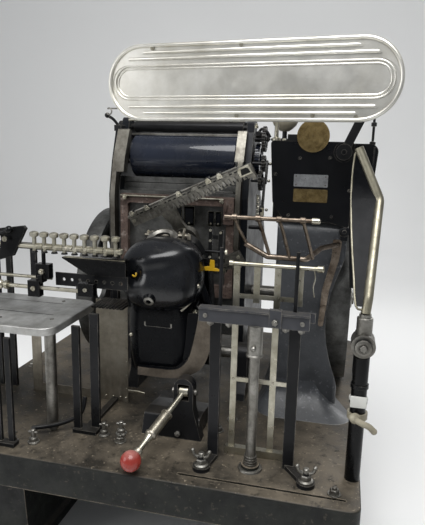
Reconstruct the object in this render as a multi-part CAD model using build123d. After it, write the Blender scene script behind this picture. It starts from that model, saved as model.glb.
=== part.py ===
from build123d import *
from math import cos, sin, radians
import os

os.makedirs("parts", exist_ok=True)

# Sizes in mm. X runs to the viewer's right, Y to the back, Z up from the floor.
RUN = 0.05
AIR = 8

# Base
BASE_TOP = 420
BASE_LEFT = -656.2
BASE_RIGHT = 626
BASE_FRONT = -624
BASE_BACK = 648
BASE_CORNER = 30
BASE_EDGE = 6
APRON_DEPTH = 100
APRON_T = 16
DECK = 30
PEDESTAL_IN = 360
PEDESTAL_OUT = 470
PEDESTAL_Y = 500
FOOT_OUT = 20
FOOT_H = 30
SLOT_Y = -581
SLOT_W = 8
SLOT_X0 = 150
SLOT_X1 = 590

# Press side frames, bed and ink unit
FRAME_LEFT = -318
FRAME_RIGHT = 206
FRAME_T = 40
FRAME_FRONT = 50
FRAME_BACK = 500
FRAME_TOP = 1332
EAR_TOP = 1384
BED_FRONT = 45
BED_T = 50
BED_Z0 = 600
BED_Z1 = 1117
BED_RIB = 24
CHASE_T = 22
CHASE_Z0 = 745
CHASE_Z1 = 1107
CHASE_BAR = 28
DRUM_Y = 158
DRUM_Z = 1240
DRUM_R = 78
DRUM_SHAFT_R = 12
GEAR_R = 52
GEAR_T = 16
GEAR_TEETH = 30
RAIL_W = 17
RAIL_TOP_W = 32
RAIL_DEPTH = 36
ROLLER_Y = 196
ROLLER_Z = 1350
ROLLER_R = 20
TRAY_Z = 1152
TRAY_Y = 104
TRAY_T = 8
TRAY_LIP = 13

# Platen rocker and gripper windmill
LEAN = 20
HUB_X = 50
HUB_Y = -180
HUB_Z = 990
HUB_R = 40
HUB_T = 24
WINDMILL_SHAFT_R = 14
WINDMILL_SHAFT_L = 120
ARM_OFFSET = 124
BAR_IN = 140
BAR_OUT = 305
BAR_W = 40
BAR_T = 8
BAR_TILT = 25.5
COMB_PITCH = 13
COMB_SLOT = 6
COMB_DEPTH = 12
PIVOT_Y = -35
PIVOT_Z = 565
PIVOT_R = 20
PIVOT_EYE_R = 36
PIVOT_X0 = -185
PIVOT_X1 = 245
BRACKET_T = 40
PLATEN_X = 10
PLATEN_GAP = 26
PLATEN_T = 28
PLATEN_W = 256
PLATEN_H = 400
PLATEN_CROWN = 34
FLANGE_T = 20
DOME_Y = -285
DOME_R = 0.44
MUZZLE_R = 70
BAND_FRONT = -358
BAND_T = 50

# Column, covers and wheels
COL_X0 = 330
COL_X1 = 488
CHEEK_X1 = 550
CHEEK_T = 46
CHEEK_TAPER = 1.25
COL_FRONT = -106
COL_BACK = 420
COL_TOP = 1060
COL_CORNER = 14
COL_BROW = 46
FLARE_H = 100
FLARE_OUT = 90
FLARE_RIGHT = 118
COVER_X0 = 299
COVER_X1 = 552
COVER_H = 242
COVER_TOP = COL_TOP + COVER_H
COVER_T = 10
COVER_BACK = 330
COVER_LOW = 850
COVER_STEP = 1040
SIDE_COVER_X1 = 624
BADGE_X = 428
BADGE_Z = COVER_TOP + 16
BADGE_R = 49
PLATE_T = 2
WHEEL_R = 298
WHEEL_X0 = 500
WHEEL_X1 = 576
WHEEL_LEFT = -400
WHEEL_W = 62
WHEEL_Y = 222
WHEEL_Z = 732
WHEEL_SHAFT_R = 22
RIM_T = 34
RIM_CROWN = 3
RIM_FLANK = 9
WEB_T = 18
WHEEL_HUB_R = 56
HOLE_R = 42
HOLE_COUNT = 6

# Throw-off lever
LEVER_X = 113
LEVER_Y = -395
LEVER_Z = 568
LEVER_PIN_R = 10
BOSS_EDGE = 30
BOSS_UP = 14
BALL_X = 33
BALL_Y = -620
BALL_Z = 460
BALL_R = 28

# Guard and its arm
GUARD_L = 820
GUARD_H = 210
GUARD_T = 6
GUARD_RIM = 9
GUARD_X = 248
GUARD_Y = -330
GUARD_Z = 1452
GUARD_TURN = -6
BOSS_X = 522
BOSS_Z = COVER_TOP - 30
BOSS_R = 24
GUARD_ARM_W = 26
BOSS_PIN_R = 7
GUARD_PIN_X = 575
GUARD_PIN_Z = GUARD_Z - 59

# Control lever on its post
HEAD_X = 604
HEAD_Y = -476
HEAD_Z = 799
HEAD_R = 30
HEAD_PIN_R = 8
LEVER_POST_R = 20
TUBE_R = 12

# Delivery: table crossbar, standards, fence and rake
POST_X = 333
POST_Y = -503
POST_R = 14
POST_HEAD_R = 20
CROSS_Z = 828
CROSS_H = 40
CROSS_W = 28
CROSS_X0 = 182
CROSS_X1 = 470
STANDARD_Y = -478
STANDARD_W = 30
STANDARD_T = 10
STANDARD_TOP = 1022
FENCE_Y = -438
FENCE_TOP = 974
FENCE_BAR_W = 17
RAKE_Y = -360
RAKE_Z = 1088
RAKE_R = 6

# Feeder: table, frame, sucker bar and tray
FEED_X = -290
FEED_Y = -450
FEED_POST_R = 17
FEED_TOP = 776
FEED_T = 22
FEED_RIGHT = -226
FEED_LEFT = -600
FEED_FRONT = -560
FEED_BACK = -250
FEEDER_BACK = -198
FEEDER_TOP = 945
FEEDER_BAR = 20
FEEDER_LEFT = -640
STRIP_Y = -400
STRIP_H = 40
STRIP_DROP = 45
SUCKER_Y = -428
SUCKER_Z = 980
SUCKER_R = 7
SUCKER_COUNT = 9
SUCKER_PITCH = 32


def box(x0, x1, y0, y1, z0, z1):
    """Box given by its six faces."""
    return Pos((x0 + x1) / 2, (y0 + y1) / 2, (z0 + z1) / 2) * Box(x1 - x0, y1 - y0, z1 - z0)


def rod_x(radius, x0, x1, y, z):
    """Round bar along X."""
    return Pos((x0 + x1) / 2, y, z) * Rot(0, 90, 0) * Cylinder(radius, x1 - x0)


def rod_y(radius, y0, y1, x, z):
    """Round bar along Y."""
    return Pos(x, (y0 + y1) / 2, z) * Rot(90, 0, 0) * Cylinder(radius, y1 - y0)


def rod_z(radius, z0, z1, x, y):
    """Round bar along Z."""
    return Pos(x, y, (z0 + z1) / 2) * Cylinder(radius, z1 - z0)


def outline(points, radii):
    """Closed outline whose corners are rounded to their own radii."""
    return make_face(FilletPolyline(*points, radius=radii, close=True))


def plate_yz(points, radii, x0, x1):
    """Plate cut to a Y-Z outline and standing from x0 to x1."""
    return extrude(Plane.YZ.offset(x0) * outline(points, radii), x1 - x0)


def plate_xz(points, radii, y0, y1):
    """Plate cut to an X-Z outline and running from y0 back to y1."""
    return extrude(Plane.XZ.offset(-y0) * outline(points, radii), -(y1 - y0))


def pipe(points, radius, bend):
    """Round tube through the points with its corners bent to a radius."""
    path = FilletPolyline(*points, radius=bend)
    start = Plane(origin=path @ 0, z_dir=path % 0)
    return sweep(start * Circle(radius), path=path)


def save(shape, name):
    """Write one node."""
    solid = shape if isinstance(shape, Solid) else shape.solids()[0]
    solid.label = name
    export_step(solid, "parts/" + name + ".step")


# Base: deck with a skirt all round, a slot along the front and holes for the two table posts
base = box(BASE_LEFT, BASE_RIGHT, BASE_FRONT, BASE_BACK, BASE_TOP - APRON_DEPTH, BASE_TOP)
base = fillet(base.edges().filter_by(Axis.Z), BASE_CORNER)
base = fillet(base.faces().sort_by(Axis.Z)[-1].edges(), BASE_EDGE)
base -= box(BASE_LEFT + APRON_T, BASE_RIGHT - APRON_T, BASE_FRONT + APRON_T, BASE_BACK - APRON_T,
            BASE_TOP - APRON_DEPTH - 1, BASE_TOP - DECK)
base -= box(SLOT_X0, SLOT_X1, SLOT_Y - SLOT_W / 2, SLOT_Y + SLOT_W / 2, BASE_TOP - DECK / 2, BASE_TOP + 1)
base += rod_z(POST_R + 10, BASE_TOP - 4, BASE_TOP + 14, POST_X, POST_Y)
base -= rod_z(POST_R + RUN, BASE_TOP - DECK - 1, BASE_TOP + 20, POST_X, POST_Y)
base -= rod_z(FEED_POST_R + RUN, BASE_TOP - DECK - 1, BASE_TOP + 1, FEED_X, FEED_Y)

# Two cast pedestals under the deck, tapered and standing on a foot, in one piece with it
pedestal = plate_xz([(PEDESTAL_IN - FOOT_OUT, 0), (PEDESTAL_OUT + FOOT_OUT, 0),
                     (PEDESTAL_OUT + FOOT_OUT, FOOT_H), (PEDESTAL_OUT, FOOT_H + 20),
                     (PEDESTAL_OUT - FOOT_OUT, BASE_TOP - DECK + 1), (PEDESTAL_IN + FOOT_OUT, BASE_TOP - DECK + 1),
                     (PEDESTAL_IN, FOOT_H + 20), (PEDESTAL_IN - FOOT_OUT, FOOT_H)],
                    [0, 0, 6, 30, 0, 0, 30, 6], -PEDESTAL_Y, PEDESTAL_Y)
base += pedestal
base += mirror(pedestal, about=Plane.YZ)

# Room for the wheels, if they reach down to the deck
WHEEL_SIDES = ((WHEEL_X0, WHEEL_X1), (WHEEL_LEFT, WHEEL_LEFT + WHEEL_W))
for x0, x1 in WHEEL_SIDES:
    base -= rod_x(WHEEL_R + AIR, x0 - AIR, x1 + AIR, WHEEL_Y, WHEEL_Z)
save(base, "base_bed")

# Column casting: its foot flares out in a hollow curve, cut away round the wheel
column = box(COL_X0, COL_X1, COL_FRONT, COL_BACK, BASE_TOP, COL_TOP)
column = fillet(column.edges().filter_by(Axis.Z), COL_CORNER)
flare = []
for share in (0, 0.2, 0.5, 1):
    spread = (1 - share) ** 2
    fx0 = COL_X0 - FLARE_OUT / 2 * spread
    fx1 = COL_X1 + FLARE_RIGHT * spread
    fy0 = COL_FRONT - FLARE_OUT * spread
    fy1 = COL_BACK + FLARE_OUT * spread
    flare.append(Plane.XY.offset(BASE_TOP + FLARE_H * share) * Pos((fx0 + fx1) / 2, (fy0 + fy1) / 2)
                 * RectangleRounded(fx1 - fx0, fy1 - fy0, COL_CORNER + 60 * spread))
column += loft(flare)
column += rod_x(WHEEL_SHAFT_R + 38, COL_X0 - 26, COL_X0 + 1, WHEEL_Y, WHEEL_Z)
cheek = box(COL_X1 - 20, CHEEK_X1, COL_FRONT, COL_FRONT + CHEEK_T, BASE_TOP, COL_TOP)
column += fillet(cheek.edges().filter_by(Axis.Z).sort_by(Axis.X)[-2:], COL_CORNER)
brow = box(COL_X0 - 1, CHEEK_X1 + 1, COL_FRONT - 1, COL_FRONT + COL_BROW, COL_TOP - COL_BROW, COL_TOP + 1)
brow -= rod_x(COL_BROW, COL_X0 - 2, CHEEK_X1 + 2, COL_FRONT + COL_BROW, COL_TOP - COL_BROW)
column -= brow
cut_x0 = WHEEL_X0 - 2 * AIR
cut_l = SIDE_COVER_X1 - cut_x0
cut = Cone(WHEEL_R + AIR, WHEEL_R + AIR + cut_l * CHEEK_TAPER, cut_l)
column -= Pos(cut_x0 + cut_l / 2, WHEEL_Y, WHEEL_Z) * Rot(0, 90, 0) * cut
column -= rod_x(WHEEL_SHAFT_R + RUN, COL_X0 - 90, COL_X1 + 1, WHEEL_Y, WHEEL_Z)
save(column, "column_casting")

# Control cover on the column: a deep box with a front that laps down over the side strip
COVER_FACE = COL_FRONT - COVER_T
cover = plate_xz([(COVER_X0, COVER_TOP), (COVER_X0 + 13, COL_TOP + 52), (COVER_X0 + 46, COL_TOP + 2),
                  (COVER_X1 - 52, COL_TOP - 6), (COVER_X1, COVER_STEP), (COVER_X1, COVER_TOP)],
                 [10, 24, 8, 20, 8, 10], COVER_FACE, COL_FRONT)
shell = box(COVER_X0 + 14, COVER_X1, COL_FRONT, COVER_BACK, COL_TOP, COVER_TOP - 1)
shell = fillet(shell.edges().filter_by(Axis.Z).sort_by(Axis.Y)[-2:], 24)
shell = fillet(shell.faces().sort_by(Axis.Z)[-1].edges().sort_by(Axis.Y)[1:], 8)
cover += shell
cover += rod_y(BADGE_R - 3, COVER_FACE, COL_FRONT + 2, BADGE_X, BADGE_Z)
cover += rod_y(BOSS_R + 6, COVER_FACE - 6, COVER_FACE, BOSS_X, BOSS_Z)
cover += rod_y(BOSS_PIN_R, COVER_FACE - 36, COVER_FACE, BOSS_X, BOSS_Z)
save(cover, "column_cover")

# Set-back cover beside it, over the top of the wheel
side_cover = plate_xz([(COVER_X1, COVER_TOP - 4), (COVER_X1, COVER_STEP), (COVER_X1 + 16, COVER_LOW),
                       (COVER_X1 + 38, COVER_LOW), (SIDE_COVER_X1, COVER_TOP - 4)],
                      [0, 0, 4, 10, 24], COL_FRONT, COL_FRONT + 8)
side_cover += box(COVER_X1, SIDE_COVER_X1 - 14, COL_FRONT + 7, COVER_BACK - 10, COVER_TOP - 14, COVER_TOP - 4)
save(side_cover, "wheel_cover")

# Round badge with a raised rim and a dished middle, half above the cover's edge
badge = rod_y(BADGE_R, COVER_FACE - 6, COVER_FACE, BADGE_X, BADGE_Z)
badge -= rod_y(BADGE_R - 5, COVER_FACE - 7, COVER_FACE - 4, BADGE_X, BADGE_Z)
badge += rod_y(BADGE_R - 11, COVER_FACE - 5, COVER_FACE - 3, BADGE_X, BADGE_Z)
save(badge, "badge_round")

# Two plates on the cover
for name, x0, x1, z0, z1 in (("plate_silver", 376, 480, COVER_TOP - 138, COVER_TOP - 100),
                             ("plate_brass", 377, 481, COVER_TOP - 185, COVER_TOP - 145)):
    save(plate_xz([(x0, z0), (x1, z0), (x1, z1), (x0, z1)], [3, 3, 3, 3], COVER_FACE - PLATE_T, COVER_FACE),
         name)


def wheel(x0, x1):
    """Cast wheel turned from one section: crowned rim, thin web and hub, with round holes in the web."""
    mid = (x0 + x1) / 2
    inner = WHEEL_R - RIM_T
    tread = ThreePointArc((x0, WHEEL_R - RIM_CROWN), (mid, WHEEL_R), (x1, WHEEL_R - RIM_CROWN))
    right = Polyline((x1, WHEEL_R - RIM_CROWN), (x1 - RIM_FLANK, inner), (mid + WEB_T / 2, inner - 10),
                     (mid + WEB_T / 2, WHEEL_HUB_R + 8), (x1, WHEEL_HUB_R), (x1, WHEEL_SHAFT_R))
    left = Polyline((x1, WHEEL_SHAFT_R), (x0, WHEEL_SHAFT_R), (x0, WHEEL_HUB_R),
                    (mid - WEB_T / 2, WHEEL_HUB_R + 8), (mid - WEB_T / 2, inner - 10), (x0 + RIM_FLANK, inner),
                    (x0, WHEEL_R - RIM_CROWN))
    turned = revolve(Plane.XZ * make_face(tread + right + left), Axis.X)
    for k in range(HOLE_COUNT):
        angle = radians(360 / HOLE_COUNT * k)
        reach = (inner + WHEEL_HUB_R) / 2
        turned -= rod_x(HOLE_R, x0 - 1, x1 + 1, reach * cos(angle), reach * sin(angle))
    return Pos(0, WHEEL_Y, WHEEL_Z) * turned


save(wheel(WHEEL_X0, WHEEL_X1), "flywheel")
save(wheel(WHEEL_LEFT, WHEEL_LEFT + WHEEL_W), "flywheel_left")
save(rod_x(WHEEL_SHAFT_R, WHEEL_LEFT - 14, WHEEL_X1 + 18, WHEEL_Y, WHEEL_Z), "flywheel_shaft")

# Side frames of the press: waisted castings with ears for the top roller
KNEE_Z = FRAME_TOP - 232
SHOULDER_Z = FRAME_TOP - 112
side = [(FRAME_FRONT, BASE_TOP), (FRAME_BACK, BASE_TOP), (FRAME_BACK, FRAME_TOP - 392), (330, KNEE_Z + 10),
        (262, FRAME_TOP), (118, FRAME_TOP), (78, SHOULDER_Z), (FRAME_FRONT, KNEE_Z)]
for name, x0 in (("side_frame_left", FRAME_LEFT), ("side_frame_right", FRAME_RIGHT - FRAME_T)):
    plate = plate_yz(side, [0, 0, 70, 90, 24, 0, 0, 0], x0, x0 + FRAME_T)
    plate += plate_yz([(ROLLER_Y - 36, FRAME_TOP - 20), (ROLLER_Y + 36, FRAME_TOP - 20),
                       (ROLLER_Y + 26, EAR_TOP), (ROLLER_Y - 26, EAR_TOP)], [0, 0, 22, 22],
                      x0 + 6, x0 + FRAME_T - 6)
    plate += rod_x(DRUM_SHAFT_R + 16, x0 - 5, x0 + FRAME_T + 5, DRUM_Y, DRUM_Z)
    plate -= rod_x(DRUM_SHAFT_R + RUN, x0 - 6, x0 + FRAME_T + 6, DRUM_Y, DRUM_Z)
    plate -= rod_x(WHEEL_SHAFT_R + RUN, x0 - 1, x0 + FRAME_T + 1, WHEEL_Y, WHEEL_Z)
    save(plate, name)

# Bed between the side frames, ribbed behind, and the rusty chase frame on it
IN_X0 = FRAME_LEFT + FRAME_T
IN_X1 = FRAME_RIGHT - FRAME_T
bed = box(IN_X0, IN_X1, BED_FRONT, BED_FRONT + BED_T, BED_Z0, BED_Z1)
for k in (1, 2, 3):
    rib_x = IN_X0 + (IN_X1 - IN_X0) * k / 4
    bed += box(rib_x - BED_RIB / 2, rib_x + BED_RIB / 2, BED_FRONT + BED_T, BED_FRONT + BED_T + 30,
               BED_Z0, BED_Z1 - 40)
save(bed, "bed_plate")
CHASE_X0 = IN_X0 + 16
CHASE_X1 = IN_X1 - 3
chase = plate_xz([(CHASE_X0, CHASE_Z0), (CHASE_X1, CHASE_Z0), (CHASE_X1, CHASE_Z1), (CHASE_X0, CHASE_Z1)],
                 [8, 8, 8, 8], BED_FRONT - CHASE_T, BED_FRONT)
chase -= plate_xz([(CHASE_X0 + CHASE_BAR, CHASE_Z0 + 44), (CHASE_X1 - CHASE_BAR, CHASE_Z0 + 44),
                   (CHASE_X1 - CHASE_BAR, CHASE_Z1 - 32), (CHASE_X0 + CHASE_BAR, CHASE_Z1 - 32)],
                  [10, 10, 10, 10], BED_FRONT - CHASE_T - 1, BED_FRONT + 1)
save(chase, "chase_frame")

# Roller rails down the front of the side frames, wide where they pass the drum
rail_side = [(FRAME_FRONT, 900), (FRAME_FRONT, KNEE_Z), (78, SHOULDER_Z), (118, FRAME_TOP), (96, FRAME_TOP + 8),
             (44, SHOULDER_Z + 12), (FRAME_FRONT - RAIL_DEPTH, KNEE_Z + 4), (FRAME_FRONT - RAIL_DEPTH, 900)]
rail_radii = [0, 0, 0, 0, 8, 90, 140, 6]
for name, x0, wide0, wide_z in (("rail_left", IN_X0 - RAIL_W - 3, IN_X0 - 7, SHOULDER_Z - 36),
                                ("rail_right", IN_X1, IN_X1 - 12, SHOULDER_Z + 10)):
    wide = plate_yz(rail_side, rail_radii, wide0, wide0 + RAIL_TOP_W)
    wide &= box(wide0 - 1, wide0 + RAIL_TOP_W + 1, 0, 200, wide_z, FRAME_TOP + 20)
    save(plate_yz(rail_side, rail_radii, x0, x0 + RAIL_W) + wide, name)

# Ink drum on its shaft, with the gear that turns it outside the right frame
DRUM_X0 = IN_X0 - 7 + RAIL_TOP_W + 6
DRUM_X1 = IN_X1 - 18
drum = rod_x(DRUM_R, DRUM_X0, DRUM_X1, DRUM_Y, DRUM_Z)
drum = chamfer(drum.edges().filter_by(GeomType.CIRCLE), 2)
GEAR_X0 = FRAME_RIGHT + 8
drum += rod_x(DRUM_SHAFT_R, FRAME_LEFT - 16, GEAR_X0 + GEAR_T + 6, DRUM_Y, DRUM_Z)
gear = rod_x(GEAR_R, GEAR_X0, GEAR_X0 + GEAR_T, 0, 0)
for k in range(GEAR_TEETH):
    tooth = Pos(GEAR_X0 + GEAR_T / 2, GEAR_R, 0) * Box(GEAR_T, 9, 5)
    gear += Rot(360 / GEAR_TEETH * k, 0, 0) * tooth
gear -= rod_x(GEAR_R - 10, GEAR_X0 + GEAR_T - 4, GEAR_X0 + GEAR_T + 1, 0, 0)
gear += rod_x(DRUM_SHAFT_R + 8, GEAR_X0, GEAR_X0 + GEAR_T + 2, 0, 0)
drum += Pos(0, DRUM_Y, DRUM_Z) * gear
save(drum, "ink_drum")

# Top roller between the ears, and the tray under the drum
roller = rod_x(ROLLER_R, IN_X0 + 10, IN_X1 - 10, ROLLER_Y, ROLLER_Z)
roller += rod_x(ROLLER_R / 2, IN_X0 - 6, IN_X1 + 6, ROLLER_Y, ROLLER_Z)
save(roller, "ink_roller")
tray = plate_yz([(TRAY_Y, TRAY_Z - TRAY_T), (TRAY_Y, TRAY_Z + TRAY_LIP), (TRAY_Y + 4, TRAY_Z + TRAY_LIP),
                 (TRAY_Y + 4, TRAY_Z), (TRAY_Y + 140, TRAY_Z), (TRAY_Y + 140, TRAY_Z - TRAY_T)],
                [2, 1, 1, 1, 0, 0], IN_X0, IN_X1)
tray += rod_x(6, IN_X0, IN_X1, TRAY_Y + 8, TRAY_Z - TRAY_T - 4)
save(tray, "ink_tray")

# Local plane of the windmill: x right, y up the lean, z to the viewer
hub_plane = Plane(origin=(HUB_X, HUB_Y, HUB_Z), x_dir=(1, 0, 0),
                  z_dir=(0, -cos(radians(LEAN)), -sin(radians(LEAN))))
dy = PIVOT_Y - HUB_Y
dz = PIVOT_Z - HUB_Z
pivot_v = -dy * sin(radians(LEAN)) + dz * cos(radians(LEAN))
pivot_n = -dy * cos(radians(LEAN)) - dz * sin(radians(LEAN))

# Gripper bar: thin plate with a spine, clip lugs above, comb teeth below and a jaw at its end
bar_x0 = -BAR_IN
bar_y0 = ARM_OFFSET - BAR_W / 2
bar = Pos((BAR_OUT - BAR_IN) / 2, ARM_OFFSET, 0) * Box(BAR_IN + BAR_OUT, BAR_W, BAR_T)
bar += Pos((BAR_OUT - BAR_IN) / 2, ARM_OFFSET + BAR_W / 2 - 4, 3) * Box(BAR_IN + BAR_OUT, 8, BAR_T + 6)
comb_count = int((BAR_IN + BAR_OUT - 150) / COMB_PITCH)
for k in range(comb_count):
    slot_x = BAR_OUT - 30 - COMB_PITCH * k
    bar -= Pos(slot_x, bar_y0 + COMB_DEPTH / 2 - 1, 0) * Box(COMB_SLOT, COMB_DEPTH + 2, BAR_T + 2)
for share in (0.06, 0.3, 0.58, 0.82):
    lug_x = bar_x0 + (BAR_IN + BAR_OUT) * share
    bar += Pos(lug_x, ARM_OFFSET + BAR_W / 2 - 1, 7) * Box(20, 10, 12)
bar += Pos(BAR_OUT - 6, ARM_OFFSET - 4, 5) * Box(12, BAR_W + 6, 14)

# Arm from the hub to the bar, waisted between them
arm = extrude(outline([(-30, 0), (30, 0), (17, 60), (22, bar_y0 + 8), (-34, bar_y0 + 8), (-17, 60)],
                      [0, 0, 60, 0, 0, 60]), 7, both=True)
mill = Cylinder(HUB_R, HUB_T)
mill += Pos(0, 0, -HUB_T / 2 - 4) * Cylinder(HUB_R - 16, 8)
mill += Pos(0, 0, WINDMILL_SHAFT_L / 2) * Cylinder(WINDMILL_SHAFT_R, WINDMILL_SHAFT_L)
for half in (0, 180):
    mill += Rot(0, 0, half + BAR_TILT) * (arm + bar)
save(hub_plane * mill, "gripper_windmill")

# Platen rocker: crowned plate on a barrel that turns on the pivot shaft
PLATEN_U = PLATEN_X - HUB_X
half_w = PLATEN_W / 2
crown = [(PLATEN_U - half_w, -PLATEN_H), (PLATEN_U + half_w, -PLATEN_H), (PLATEN_U + half_w, -60),
         (PLATEN_U + half_w * 0.6, PLATEN_CROWN), (PLATEN_U - half_w * 0.6, PLATEN_CROWN),
         (PLATEN_U - half_w, -60)]
platen = Pos(0, 0, PLATEN_GAP) * extrude(outline(crown, [20, 20, 60, 60, 60, 60]), PLATEN_T)
platen += Pos(PLATEN_U, pivot_v + 20, (PLATEN_GAP + PLATEN_T + pivot_n) / 2) \
    * Box(PLATEN_W - 16, 100, PLATEN_GAP + PLATEN_T - pivot_n)
platen += Pos(PLATEN_U, pivot_v, pivot_n) * Rot(0, 90, 0) * Cylinder(PIVOT_EYE_R, PLATEN_W - 16)
platen -= Cylinder(WINDMILL_SHAFT_R + RUN, 4 * WINDMILL_SHAFT_L)
platen = hub_plane * platen
platen -= rod_x(PIVOT_R + RUN, PIVOT_X0 - 1, PIVOT_X1 + 1, PIVOT_Y, PIVOT_Z)
save(platen, "platen")

# Drive housing on the platen: domed cast shell, full at the shoulder and drawn in to a chin and a lower body
levels = ((575, 150, 80), (600, 186, 106), (660, 206, 118), (740, 214, 128), (790, 214, 150), (850, 236, 196),
          (910, 240, 204), (960, 206, 168), (990, 150, 116), (1004, 84, 56))
sections = []
for z, width, depth in levels:
    sections.append(Plane.XY.offset(z) * Pos(PLATEN_X, DOME_Y) * RectangleRounded(width, depth, depth * DOME_R))
housing = loft(sections)
flange = Pos(0, 0, PLATEN_GAP + PLATEN_T) * extrude(outline(crown, [20, 20, 60, 60, 60, 60]), FLANGE_T)
flange = fillet(flange.faces().sort_by(Axis.Z)[-1].edges(), 7)
housing += hub_plane * flange
housing += hub_plane * (Pos(PLATEN_U, -130, PLATEN_GAP + PLATEN_T + 30) * Box(180, 230, 60))
housing -= hub_plane * (Pos(0, 0, PLATEN_GAP + PLATEN_T - 300) * Box(900, 2000, 600))
housing += Pos(PLATEN_X - 12, DOME_Y - 50, 872) * Sphere(MUZZLE_R)
nose = Plane(origin=(PLATEN_X - 6, DOME_Y - 50, 876), z_dir=(0, -0.88, -0.47))
housing += nose * (Pos(0, 0, MUZZLE_R + 2) * Cone(24, 15, 16))
housing -= nose * (Pos(0, 0, MUZZLE_R + 8) * Cylinder(8, 10))
eye = Plane(origin=(PLATEN_X - 84, DOME_Y - 74, 903), z_dir=(-0.62, -0.78, 0))
housing -= eye * Cylinder(11, 30)
chin = plate_xz([(PLATEN_X - 60, 611), (PLATEN_X + 56, 614), (PLATEN_X + 100, 652), (PLATEN_X + 125, 742),
                 (PLATEN_X + 134, 805), (PLATEN_X + 184, 805), (PLATEN_X + 180, 745), (PLATEN_X + 160, 655),
                 (PLATEN_X + 102, 600), (PLATEN_X + 44, 585), (PLATEN_X - 60, 585)],
                [2, 40, 50, 60, 4, 4, 60, 60, 60, 40, 2], BAND_FRONT, BAND_FRONT + BAND_T)
chin += plate_xz([(PLATEN_X + 60, 600), (PLATEN_X + 150, 700), (PLATEN_X + 150, 790), (PLATEN_X + 60, 790)],
                 [10, 30, 10, 10], BAND_FRONT + BAND_T - 26, DOME_Y + 10)
housing += chin
housing -= hub_plane * (Pos(0, 0, WINDMILL_SHAFT_L / 2) * Cylinder(WINDMILL_SHAFT_R + RUN, WINDMILL_SHAFT_L + 1))
save(housing, "drive_housing")

# Pivot shaft and its brackets on the base, wider at the foot
save(rod_x(PIVOT_R, PIVOT_X0, PIVOT_X1, PIVOT_Y, PIVOT_Z), "pivot_shaft")
for name, x0 in (("pivot_bracket_left", PIVOT_X0), ("pivot_bracket_right", PIVOT_X1 - BRACKET_T)):
    stand = plate_yz([(PIVOT_Y - 78, BASE_TOP), (PIVOT_Y + 78, BASE_TOP), (PIVOT_Y + 70, BASE_TOP + 22),
                      (PIVOT_Y + 40, BASE_TOP + 60), (PIVOT_Y + 40, PIVOT_Z), (PIVOT_Y - 40, PIVOT_Z),
                      (PIVOT_Y - 40, BASE_TOP + 60), (PIVOT_Y - 70, BASE_TOP + 22)],
                     [0, 0, 6, 30, 0, 0, 30, 6], x0, x0 + BRACKET_T)
    stand += rod_x(PIVOT_EYE_R + 4, x0, x0 + BRACKET_T, PIVOT_Y, PIVOT_Z)
    stand -= rod_x(PIVOT_R + 0.01, x0 - 1, x0 + BRACKET_T + 1, PIVOT_Y, PIVOT_Z)
    save(stand, name)

# Throw-off lever's casting: a low body on the deck with a slotted round boss that faces the front
body_y1 = LEVER_Y + 160
stand = plate_yz([(LEVER_Y - 14, BASE_TOP), (body_y1, BASE_TOP), (body_y1, BASE_TOP + 44),
                  (LEVER_Y + 60, BASE_TOP + 60), (LEVER_Y + 10, BASE_TOP + 60)],
                 [0, 0, 20, 30, 12], LEVER_X - 130, LEVER_X + 46)
boss_z = LEVER_Z + BOSS_UP
stand += plate_xz([(LEVER_X - 84, BASE_TOP), (LEVER_X + 56, BASE_TOP), (LEVER_X + BOSS_EDGE, LEVER_Z - 50),
                   (LEVER_X + BOSS_EDGE, boss_z), (LEVER_X - BOSS_EDGE, boss_z), (LEVER_X - BOSS_EDGE, LEVER_Z - 50)],
                  [0, 0, 60, 0, 0, 60], LEVER_Y - 14, LEVER_Y + 24)
stand += rod_y(BOSS_EDGE, LEVER_Y - 14, LEVER_Y + 24, LEVER_X, boss_z)
stand -= box(LEVER_X - 17, LEVER_X + 17, LEVER_Y - 15, LEVER_Y + 20, LEVER_Z - 24, LEVER_Z + 26)
stand += rod_x(LEVER_PIN_R, LEVER_X - 18, LEVER_X + 18, LEVER_Y, LEVER_Z)
save(stand, "lever_bracket")

# Lever with its eye, knurled sleeve and ball
start = Vector(LEVER_X, LEVER_Y, LEVER_Z)
end = Vector(BALL_X, BALL_Y, BALL_Z)
shaft_plane = Plane(origin=start, z_dir=(end - start).normalized())
length = (end - start).length
lever = rod_x(LEVER_PIN_R + 6, LEVER_X - 13, LEVER_X + 13, LEVER_Y, LEVER_Z)
lever += shaft_plane * Pos(0, 0, length / 2) * Cylinder(8, length)
lever += shaft_plane * Pos(0, 0, length * 0.5) * Cylinder(14, length * 0.3)
lever += shaft_plane * Pos(0, 0, length * 0.7) * Cone(14, 8, length * 0.1)
lever -= rod_x(LEVER_PIN_R + RUN, LEVER_X - 30, LEVER_X + 30, LEVER_Y, LEVER_Z)
lever -= Pos(BALL_X, BALL_Y, BALL_Z) * Sphere(BALL_R)
save(lever, "impression_lever")
save(Pos(BALL_X, BALL_Y, BALL_Z) * Sphere(BALL_R), "lever_ball")

# Guard: stadium plate with a rolled rim, a dished middle and two long beads above and below it
turn = radians(GUARD_TURN)
guard_plane = Plane(origin=(GUARD_X, GUARD_Y, GUARD_Z), x_dir=(cos(turn), sin(turn), 0),
                    z_dir=(sin(turn), -cos(turn), 0))
guard = extrude(SlotOverall(GUARD_L, GUARD_H), GUARD_T / 2, both=True)
rim = extrude(SlotOverall(GUARD_L, GUARD_H) - SlotOverall(GUARD_L - 2 * GUARD_RIM, GUARD_H - 2 * GUARD_RIM),
              GUARD_T, both=True)
guard += rim
for share, inset in ((0.39, GUARD_H), (0.31, GUARD_H * 0.55)):
    for v in (-GUARD_H * share, GUARD_H * share):
        guard += Pos(0, v, GUARD_T / 2) * extrude(SlotOverall(GUARD_L - inset, 9), 3)
guard -= Pos(0, 0, GUARD_T / 2 - 2) * extrude(SlotOverall(GUARD_L - 3 * GUARD_RIM, GUARD_H * 0.46), 4)
save(guard_plane * guard, "guard_plate")

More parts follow.
